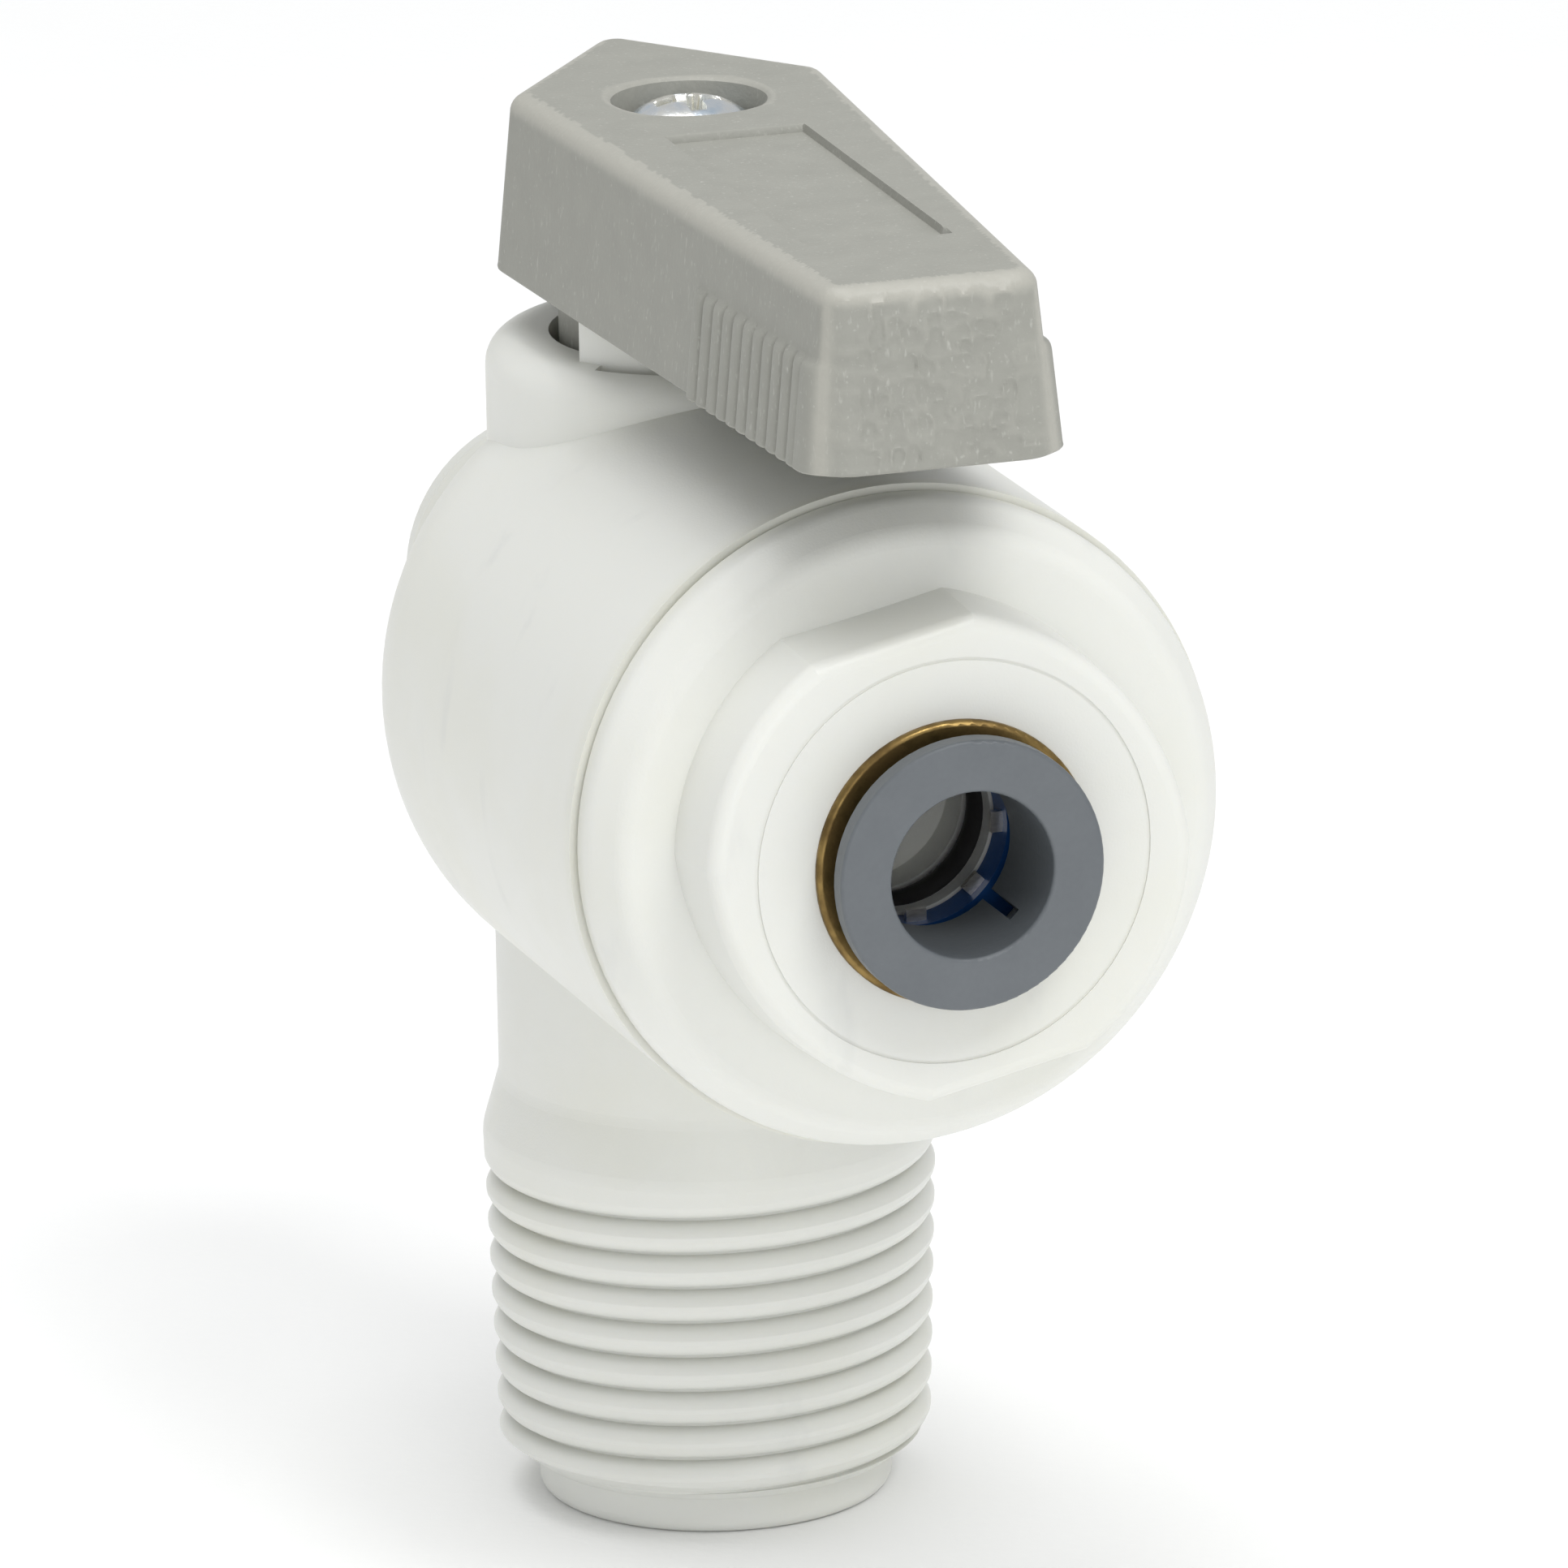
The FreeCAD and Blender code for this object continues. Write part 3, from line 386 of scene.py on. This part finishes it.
finishes = {name: plain_finish(name, *look) for name, look in PLAIN_FINISHES.items()}
for maker in (white_plastic, lever_plastic, zinc_plated_steel, aged_brass, spring_steel):
    finishes[maker.__name__] = maker()
print(len(finishes), "finishes")

# %% [markdown]
# ## Dressing the nodes
# The record says which finish each node takes. The meshes stay as they are: only the object's
# material slot changes. The floor's paper is made the same way as the finishes.

# %% Dress the nodes and the floor
slot_of = {part["node"]: part["material_slot"] for part in frame["record"]["subparts"]}
for name, slot in slot_of.items():
    for place in nodes[name].material_slots:
        place.link = "OBJECT"
        place.material = finishes[slot]

paper, place = open_finish("floor_paper")
paper_tone = grain(place, 60.0).tint((0.97, 0.97, 0.965), (0.98, 0.98, 0.975))
close(paper, place, paper_tone, 0.7 + grain(place, 5.0) * 0.1, grain(place, 0.6), 0.02)
floor_mesh.materials.append(paper)
print("dressed", len(slot_of), "nodes")

# %% [markdown]
# ## Surfaces from grids
# A grid is a block of points, rows by columns, each with x, y, z in millimetres and its wear, which
# on the lever also holds a painted highlight round the screw's recess. A piece is one or more grids
# whose rims meet, welded into one closed skin. Whole arrays do the work, so a hundred thousand points
# cost no more code than four.

# %% Grids into pieces
HANDLE_ANGLE = math.radians(-2.3)
WELD_GAP = 1e-4


def quads(rows, columns, first):
    """Faces of a grid: each joins a point, the next along, and the two above them."""
    row, column = np.meshgrid(np.arange(rows - 1), np.arange(columns - 1), indexing="ij")
    here = first + row * columns + column
    return np.stack([here, here + 1, here + columns + 1, here + columns], -1).reshape(-1, 4)


def lay_with_handle(points):
    """Turns points with the lever about the stem and lifts them from the ball's centre."""
    x, y, z = points.T
    cosine, sine = math.cos(HANDLE_ANGLE), math.sin(HANDLE_ANGLE)
    return np.stack([x * cosine - y * sine, x * sine + y * cosine, z + BALL_HEIGHT], -1)


def make_piece(name, grids, lay, slot, body, sharp=40):
    """Welds the grids' rims, turns the faces outward and stands the piece in for its node."""
    starts = np.cumsum([0] + [grid.shape[0] * grid.shape[1] for grid in grids])
    points = np.concatenate([grid.reshape(-1, 4) for grid in grids])
    faces = np.concatenate([quads(*grid.shape[:2], first) for grid, first in zip(grids, starts)])
    mesh = bpy.data.meshes.new(name)
    mesh.from_pydata(lay(points[:, :3]) * MM, [], faces.tolist())
    # The wear attribute holds real wear, and on the lever a painted highlight round the screw's recess.
    wear = mesh.attributes.new("wear", "FLOAT", "POINT")
    wear.data.foreach_set("value", points[:, 3].astype(np.float32))
    skin = bmesh.new()
    skin.from_mesh(mesh)
    bmesh.ops.remove_doubles(skin, verts=skin.verts, dist=WELD_GAP * MM)
    bmesh.ops.recalc_face_normals(skin, faces=skin.faces)
    skin.to_mesh(mesh)
    open_edges = sum(len(edge.link_faces) != 2 for edge in skin.edges)
    skin.free()
    mesh.polygons.foreach_set("use_smooth", np.ones(len(mesh.polygons), bool))
    mesh.set_sharp_from_angle(angle=math.radians(sharp))
    mesh.materials.append(finishes[slot])
    piece = bpy.data.objects.new(name, mesh)
    bpy.context.scene.collection.objects.link(piece)
    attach(piece, body)
    print(name, len(mesh.polygons), "faces,", open_edges, "open edges")
    return piece


def stations(knots, steps):
    """Values that run through the knots, with so many equal steps in each gap."""
    gaps = zip(knots, knots[1:], steps)
    runs = [np.linspace(start, end, count, endpoint=False) for start, end, count in gaps]
    return np.concatenate(runs + [[knots[-1]]])


def ramp(values):
    """0 below 0, 1 above 1, and an S-shaped rise between."""
    clipped = np.clip(values, 0, 1)
    return clipped * clipped * (3 - 2 * clipped)


def lumps(across, along, size, seed):
    """Value noise from -0.5 to 0.5: random heights on a lattice, blended with S-shaped weights."""
    lattice = np.random.default_rng(seed).random((97, 97)) - 0.5
    u, v = across / size, along / size
    i, j = np.floor(u).astype(int), np.floor(v).astype(int)
    p, q = ramp(u - i), ramp(v - j)
    corner = lambda a, b: lattice[(i + a) % 97, (j + b) % 97]
    low = corner(0, 0) * (1 - p) + corner(1, 0) * p
    high = corner(0, 1) * (1 - p) + corner(1, 1) * p
    return low * (1 - q) + high * q


def to_circles(x, y, rings, shares):
    """Bends square rings towards circles: a ring of half-width m becomes a circle of radius m.

    The share of bending at each m runs through the given rings and shares.
    """
    ring = np.maximum(np.abs(x), np.abs(y))
    share = np.interp(ring, rings, shares)
    radial = ring / np.maximum(np.hypot(x, y), 1e-9)
    factor = 1 - share + share * radial
    return x * factor, y * factor, ring


# %% The rim of a square grid
def rim_of(grid):
    """The outer ring of a grid's points, once round and back to its first point."""
    return np.concatenate([grid[0, :-1], grid[:-1, -1], grid[-1, :0:-1], grid[::-1, 0]])


# %% [markdown]
# ## The lever's plan
# Seen from above the lever is a long wedge with a pointed heel. The plan is a small polygon inside
# the lever, called its core, and every outline of the lever is that core grown outward by some
# amount: less at the top, because the sides lean in, and least across the rounded rim. Growing a
# core keeps straight sides straight and makes each corner an arc.

# %% The lever's core and the stations along its side
BASE, TOP = 15.9, 22.87
DRAFT = 0.7
CORNER = 1.7
RIM = 0.75
FOOT_ROUND = 0.15
TIP_HALF, TIP_Y = 4.75, -31.1
SHOULDER_HALF, SHOULDER_Y = 7.0, 3.2
HEEL_Y = 12.4
HEEL_EDGE = math.radians(25)
RECESS_RADIUS, SCREW_SEAT = 2.98, 20.4
PANEL_HALF, PANEL_NEAR, PANEL_FAR, PANEL_DEPTH = 2.75, -5.9, -23.9, 0.3
HOLLOW_WEB, HOLLOW_WALL, HOLLOW_NEAR, HOLLOW_FAR, HOLLOW_ROOF = 0.7, 2.2, -9.0, -28.2, 20.9
RIBS, RIB_FIRST, RIB_PITCH, RIB_RISE, RIB_TOP = 11, -18.3, 1.02, 0.30, 20.1
CRISP, NEAR_CRISP = 0.04, 0.28

side_tilt = math.atan2(SHOULDER_HALF - TIP_HALF, SHOULDER_Y - TIP_Y)
facet_angle = math.atan2(SHOULDER_HALF, HEEL_Y - SHOULDER_Y)


def meet(point, angle, other_point, other_angle):
    """Where two sides cross once each is moved in by the corner radius."""
    facing = np.array([[math.cos(a), math.sin(a)] for a in (angle, other_angle)])
    reach = np.einsum("ij,ij->i", facing, [point, other_point]) - CORNER
    return np.linalg.solve(facing, reach)


tip_core = meet((0, TIP_Y), -math.pi / 2, (TIP_HALF, TIP_Y), -side_tilt)
shoulder_core = meet((TIP_HALF, TIP_Y), -side_tilt, (0, HEEL_Y), facet_angle)
heel_core = np.array([0, HEEL_Y - CORNER / math.sin(facet_angle)])

rib_end = RIB_FIRST + RIB_PITCH / 2
rib_last = rib_end - RIBS * RIB_PITCH
side_knots = [tip_core[1], rib_last, rib_end, -14, HOLLOW_NEAR - 0.1, HOLLOW_NEAR + 0.1]
side_steps = [4, RIBS * 10, 12, 16, 2, 6]
for edge in (PANEL_NEAR, -RECESS_RADIUS):
    side_knots += [edge - NEAR_CRISP, edge - CRISP, edge + CRISP, edge + NEAR_CRISP]
    side_steps += [3, 1, 3, 6]
side_y = stations(side_knots + [shoulder_core[1]], side_steps[:-1] + [22])

top_grow = CORNER - DRAFT * (TOP - RIM - BASE) / (TOP - BASE) - RIM
facet_lift = top_grow * math.sin(facet_angle)
facet_knots = [shoulder_core[1]]
for offset in (-CRISP, CRISP, NEAR_CRISP, 1.5):
    facet_knots.append(RECESS_RADIUS + offset - facet_lift)
facet_y = stations(facet_knots + [heel_core[1]], [2, 1, 3, 7, 34])


def along(start, end, ys):
    """Points of the straight line from start to end at the given y values."""
    return np.stack([np.interp(ys, [start[1], end[1]], [start[0], end[0]]), ys], -1)


def fan(centre, start, end, count):
    """An arc's stations: one centre, and angles from start to end without the end itself."""
    return np.tile(centre, (count, 1)), np.linspace(start, end, count, endpoint=False)


side_angle = -side_tilt
tip_fan = fan(tip_core, -math.pi / 2, side_angle, 9)
shoulder_fan = fan(shoulder_core, side_angle, facet_angle, 9)
heel_fan = fan(heel_core, facet_angle, math.pi / 2 - HEEL_EDGE, 7)
side_core = np.concatenate(
    [
        tip_fan[0],
        along(tip_core, shoulder_core, side_y[:-1]),
        shoulder_fan[0],
        along(shoulder_core, heel_core, facet_y[:-1]),
        heel_fan[0],
        [heel_core],
    ]
)
side_facing = np.concatenate(
    [
        tip_fan[1],
        np.full(len(side_y) - 1, side_angle),
        shoulder_fan[1],
        np.full(len(facet_y) - 1, facet_angle),
        heel_fan[1],
        [math.pi / 2 - HEEL_EDGE],
    ]
)
print(len(side_core), "stations along each side of the lever")

# %% [markdown]
# ## The lever's grips
# Each side carries eleven upright ribs and, in front of them, a flat band that runs to the corner.
# A rib is half an ellipse wide and its head is domed. The function gives how far the skin stands
# out at each station and height.


# %% How far the grips stand out
def grip_rise(core_y, facing, height):
    """Half-ellipse ribs one pitch apart, and a flat band between the last rib and the corner."""
    phase = (rib_end - core_y) / RIB_PITCH
    inside = (phase > 0) & (phase < RIBS)
    across = 2 * (phase % 1) - 1
    rib = inside * np.sqrt(np.maximum(1 - across**2, 0)) ** 0.8
    straight = np.abs(facing - side_angle) < 1e-6
    band = (core_y <= rib_last) * ramp((facing - side_angle) / 0.8 + 1)
    shape = np.where(straight & (core_y < rib_end), np.maximum(rib, band), band)
    head = np.clip((RIB_TOP - height) / 0.45, 0, 1)
    return RIB_RISE * shape * np.sqrt(1 - (1 - head) ** 2)


# %% [markdown]
# ## The lever's lids
# The top and the underside are lids: rows that run straight across between the two sides. Their
# columns are pulled onto the edges of the recessed panel, the screw's recess and the hollows below,
# so that each of those edges is a line of the grid and comes out crisp.

# %% Columns of the lids
WEB_COLUMN, KEY_COLUMN = 0.2, 0.6
column_knots = [0, WEB_COLUMN - 0.02, WEB_COLUMN + 0.02, KEY_COLUMN - 0.06, KEY_COLUMN - 0.01]
column_knots += [KEY_COLUMN + 0.01, KEY_COLUMN + 0.06, 1]
half_columns = stations(column_knots, [6, 1, 10, 3, 1, 3, 12])
columns = np.concatenate([-half_columns[:0:-1], half_columns])
column_weights = np.stack([np.interp(np.abs(columns), column_knots, unit) for unit in np.eye(8)])


def lid_plan(grow, web, key):
    """Rows across the lever: x and y of every lid point, with columns on the web and key lines."""
    half = side_core[:, 0] + grow * np.cos(side_facing)
    row_y = side_core[:, 1] + grow * np.sin(side_facing)
    key = np.minimum(key, half * 0.7)
    web = np.minimum(web, key * 0.5)
    crisp = np.minimum(CRISP, half * 0.01)
    soft = np.minimum(NEAR_CRISP, half * 0.08)
    targets = [0 * half, web - crisp, web + crisp, key - soft, key - crisp, key + crisp, key + soft, half]
    bent = np.stack(targets, -1) @ column_weights
    even = half[:, None] * np.abs(columns)
    ends = np.minimum(np.arange(len(half)), np.arange(len(half))[::-1])
    share = ramp(ends / 8)[:, None]
    x = (bent * share + even * (1 - share)) * np.sign(columns)
    y = np.repeat(row_y[:, None], len(columns), 1)
    swing = HEEL_EDGE * columns
    heel_grow = np.broadcast_to(grow, len(side_core))[-1]
    x[-1] = heel_grow * np.sin(swing)
    y[-1] = heel_core[1] + heel_grow * np.cos(swing)
    return x, y


def inside_box(x, y, half, near, far):
    """1 inside a rectangle, 0 outside, with a narrow slope on its edges."""
    width = 2 * CRISP
    across = ramp((half - np.abs(x)) / width + 0.5)
    lengthwise = ramp((near - y) / width + 0.5) * ramp((y - far) / width + 0.5)
    return across * lengthwise


# %% [markdown]
# ## The lever's three skins
# The top lid sinks into the panel and the round recess, the underside rises into two hollows, and
# the skirt joins them: round the rim, down the leaning side and round the foot. The skirt's front is
# pebbled, coarse enough to see, so the pebbles are in the mesh and not only in the finish.


# %% The top lid
TOP_INNER_LINE = 0.8
RECESS_ZONE, BEND_END = 4.5, 4.4


def top_lid():
    """Flat rows that sink into the panel, and rings that bend round the screw's recess."""
    y_row = side_core[:, 1]
    key = np.interp(y_row, [PANEL_NEAR + 0.6, -4.6], [PANEL_HALF, RECESS_RADIUS])
    x, y = lid_plan(top_grow, TOP_INNER_LINE, key)
    near = np.abs(y) < RECESS_ZONE
    bend_rings = [0, RECESS_RADIUS + CRISP, BEND_END]
    round_x, round_y, ring = to_circles(x, y, bend_rings, [1, 1, 0])
    x, y = np.where(near, round_x, x), np.where(near, round_y, y)
    panel = inside_box(x, y, PANEL_HALF, PANEL_NEAR, PANEL_FAR)
    lip = np.clip((ring - RECESS_RADIUS) / NEAR_CRISP, 0, 1)
    eased = NEAR_CRISP * (1 - np.sqrt(1 - (1 - lip) ** 2)) * (ring > RECESS_RADIUS)
    sunk = (ring < RECESS_RADIUS) * near
    z = TOP - PANEL_DEPTH * panel - np.where(sunk, TOP - SCREW_SEAT, eased * near)
    # A pale band round the recess's rim and upper wall is a painted highlight, carried in the wear column.
    recess_rim_highlight = 0.5 * near * (np.abs(ring - RECESS_RADIUS - 0.1) < 0.2)
    return np.stack([x, y, z, recess_rim_highlight], -1)


# %% The underside, with its two hollows
def under_lid():
    """Flat rows at the foot, raised to the hollows' roof between the web and the side walls."""
    rise = grip_rise(side_core[:, 1], side_facing, np.full(len(side_core), BASE))
    half = side_core[:, 0] + (CORNER - FOOT_ROUND) * np.cos(side_facing)
    wall = half - HOLLOW_WALL + FOOT_ROUND
    x, y = lid_plan(CORNER - FOOT_ROUND + rise, HOLLOW_WEB, wall)
    limit = np.repeat(np.minimum(wall, half * 0.7)[:, None], x.shape[1], 1)
    hollow = inside_box(x, y, limit, HOLLOW_NEAR, HOLLOW_FAR)
    hollow = hollow * ramp((np.abs(x) - HOLLOW_WEB) / (2 * CRISP) + 0.5)
    z = BASE + (HOLLOW_ROOF - BASE) * hollow
    return np.stack([x, y, z, 0 * x], -1)


# %% The skirt
def skirt():
    """Every level's outline: the core moved along its facing by that level's growth."""
    rim = np.linspace(0, math.pi / 2, 9)
    foot = np.linspace(0, math.pi / 2, 4)
    leaning = np.linspace(TOP - RIM, BASE + FOOT_ROUND, 46)[1:-1]
    side_grow = lambda height: CORNER - DRAFT * (height - BASE) / (TOP - BASE)
    heights = np.concatenate([TOP - RIM * (1 - np.cos(rim)), leaning, BASE + FOOT_ROUND * (1 - np.sin(foot))])
    grows = np.concatenate(
        [
            top_grow + RIM * np.sin(rim),
            side_grow(leaning),
            CORNER - FOOT_ROUND * (1 - np.cos(foot)),
        ]
    )
    core, facing = loop_round(side_core, side_facing)
    height = heights[:, None]
    grow = grows[:, None] + np.repeat(0 * facing[None, :], len(heights), 0)
    mirrored = np.where(core[:, 0] < 0, math.pi - facing, facing)
    grow += grip_rise(core[:, 1], np.where(mirrored > math.pi, mirrored - 2 * math.pi, mirrored), height)
    front = ramp((-np.sin(facing) - 0.75) / 0.2) * ramp((TOP - 0.1 - height) / 0.5)
    front = front * ramp((height - BASE - 0.1) / 0.3)
    broad = lumps(core[:, 0], height, 0.55, 3)
    fine = lumps(core[:, 0], height, 0.34, 4)
    pebble = 0.5 - 4 * np.minimum(np.abs(broad + 0.4 * fine), 0.25)
    grow += 0.11 * pebble * front
    x = core[:, 0] + grow * np.cos(facing)
    y = core[:, 1] + grow * np.sin(facing)
    z = np.repeat(height, len(facing), 1)
    rim_wear = np.exp(-(((heights - TOP + 0.3) / 0.45) ** 2))[:, None]
    corners = np.maximum(ramp(1 - np.abs(-np.sin(facing) - 0.6) / 0.4), 0) * 0.8
    wear = np.maximum(rim_wear, corners) + 0.35 * front * ramp(pebble + 0.5)
    return np.stack([x, y, z, np.clip(wear, 0, 1)], -1)


def loop_round(core, facing):
    """One closed trip round the plan: tip, right side, heel and left side, first point repeated."""
    tip = np.stack([columns * tip_core[0], np.full(len(columns), tip_core[1])], -1)
    heel = np.repeat([heel_core], len(columns), 0)
    heel_facing = math.pi / 2 + HEEL_EDGE * columns
    left = core[::-1] * [-1, 1]
    cores = [tip[:-1], core[:-1], heel[:-1], left]
    facings = [
        np.full(len(columns) - 1, -math.pi / 2),
        facing[:-1],
        heel_facing[:-1],
        math.pi - facing[::-1],
    ]
    return np.concatenate(cores), np.concatenate(facings)


# %% [markdown]
# ## The lever
# Three skins make the lever's shell. The hub that reaches down round the stem and the stop rib that
# meets the body's lug are separate closed shapes sunk into its underside, in the same mesh.

# %% The lever is made
HUB_RADIUS, HUB_BASE = 5.2, 11.6
STOP_INNER, STOP_OUTER, STOP_BASE = 5.75, 6.6, 14.05
STOP_START, STOP_SWEEP = math.radians(250.9), math.radians(136.2)
SUNK = 0.6


def tube_sector(inner, outer, low, high, start, sweep, count):
    """A closed stretch of a ring: its square section carried round an arc, with both ends shut."""
    angle = start + sweep * np.linspace(0, 1, count)
    section = [(inner, low), (outer, low), (outer, high), (inner, high), (inner, low)]
    radius, height = np.array(section).T
    x = radius[None, :] * np.cos(angle)[:, None]
    y = radius[None, :] * np.sin(angle)[:, None]
    z = np.repeat(height[None, :], count, 0)
    wall = np.stack([x, y, z, 0 * x], -1)
    ends = [wall[end, [[0, 1], [3, 2]]] for end in (0, -1)]
    return [wall] + ends


HUB_EASE = 0.25


def hub():
    """A rod under the lever: an upright wall between two discs of bent square rings."""
    side = np.linspace(-1, 1, 25)
    u, v = np.meshgrid(side, side)
    x, y, ring = to_circles(u, v, [0, 1], [0, 1])
    discs = [(HUB_RADIUS - HUB_EASE, HUB_BASE), (HUB_RADIUS, BASE + SUNK)]
    flat = [np.stack([x * r, y * r, 0 * x + z, 0 * x], -1) for r, z in discs]
    outline = rim_of(np.stack([x, y], -1))
    turn = np.linspace(0, math.pi / 2, 5)
    radii = np.concatenate([HUB_RADIUS - HUB_EASE + HUB_EASE * np.sin(turn), [HUB_RADIUS]])
    levels = np.concatenate([HUB_BASE + HUB_EASE * (1 - np.cos(turn)), [BASE + SUNK]])
    wall = np.zeros((len(radii), len(outline), 4))
    wall[..., :2] = radii[:, None, None] * outline
    wall[..., 2] = levels[:, None]
    return flat + [wall]


stop_rib = tube_sector(STOP_INNER, STOP_OUTER, STOP_BASE, BASE + SUNK, STOP_START, STOP_SWEEP, 60)
lever_grids = [top_lid(), under_lid(), skirt()] + hub() + stop_rib
lever = make_piece("lever", lever_grids, lay_with_handle, "lever_plastic", "rotor")
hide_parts("handle")

# %% [markdown]
# ## The screw
# A pan head with a cross recess, seen deep in the lever. Its head is a square grid whose outer rings
# bend into circles, so the arms of the cross lie along rows and columns and their edges are crisp.
# The shank below is hidden, and is a plain rod.

# %% The screw is made
HEAD_RADIUS, HEAD_EDGE, HEAD_CROWN, SHANK_RADIUS, SHANK_END = 2.4, 21.95, 22.8, 1.45, 13.5
ARM_HALF, ARM_REACH, ARM_DEPTH, ARM_SLOPE = 0.36, 1.40, 1.05, 0.10


def screw_grids():
    """A domed head less its cross: the depth is the larger of the arms' share and the well's."""
    arm = [0, 0.2, ARM_HALF - 0.08, ARM_HALF, ARM_HALF + 0.08, ARM_REACH - 0.35, ARM_REACH, HEAD_RADIUS]
    positive = stations(arm, [3, 3, 3, 3, 6, 6, 10])
    axis = np.concatenate([-positive[:0:-1], positive])
    u, v = np.meshgrid(axis, axis)
    x, y, ring = to_circles(u, v, [0, 1.1, HEAD_RADIUS], [0, 0, 1])
    distance = np.hypot(x, y)
    dome = HEAD_CROWN - (HEAD_CROWN - HEAD_EDGE) * (distance / HEAD_RADIUS) ** 3
    nearer, farther = np.minimum(np.abs(x), np.abs(y)), np.maximum(np.abs(x), np.abs(y))
    wall = ramp((ARM_HALF - nearer) / ARM_SLOPE)
    end = ramp((ARM_REACH - farther) / 0.55)
    well = ramp((0.75 - farther - 0.5 * nearer) / 0.2)
    sunk = ARM_DEPTH * np.maximum(wall * end, well)
    head = np.stack([x, y, dome - sunk, 0 * x], -1)
    outline = rim_of(np.stack([x, y], -1)) / HEAD_RADIUS
    levels = [
        (HEAD_RADIUS, HEAD_EDGE),
        (HEAD_RADIUS, SCREW_SEAT + 0.15),
        (HEAD_RADIUS - 0.1, SCREW_SEAT + 0.01),
        (SHANK_RADIUS + 0.1, SCREW_SEAT + 0.01),
        (SHANK_RADIUS, SCREW_SEAT - 0.1),
        (SHANK_RADIUS, SHANK_END + 0.2),
        (SHANK_RADIUS - 0.2, SHANK_END),
    ]
    radius, height = np.array(levels).T
    side = np.zeros((len(levels), len(outline), 4))
    side[..., :2] = radius[:, None, None] * outline
    side[..., 2] = height[:, None]
    shrink = (SHANK_RADIUS - 0.2) / HEAD_RADIUS
    end_disc = np.stack([x * shrink, y * shrink, 0 * x + SHANK_END, 0 * x], -1)
    return [head, side, end_disc]


screw = make_piece("cross_recess_screw", screw_grids(), lay_with_handle, "zinc_plated_steel", "rotor")
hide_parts("handle_screw")

# %% [markdown]
# ## The size of the result
# Both boxes, the design's and the looks', are printed side by side. The looks may not
# outgrow the design.

# %% Sizes and the end
new_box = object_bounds()
boxes = {"cad": cad_box, "visual": new_box}
plain = {name: [list(corner) for corner in box] for name, box in boxes.items()}
print(plain)
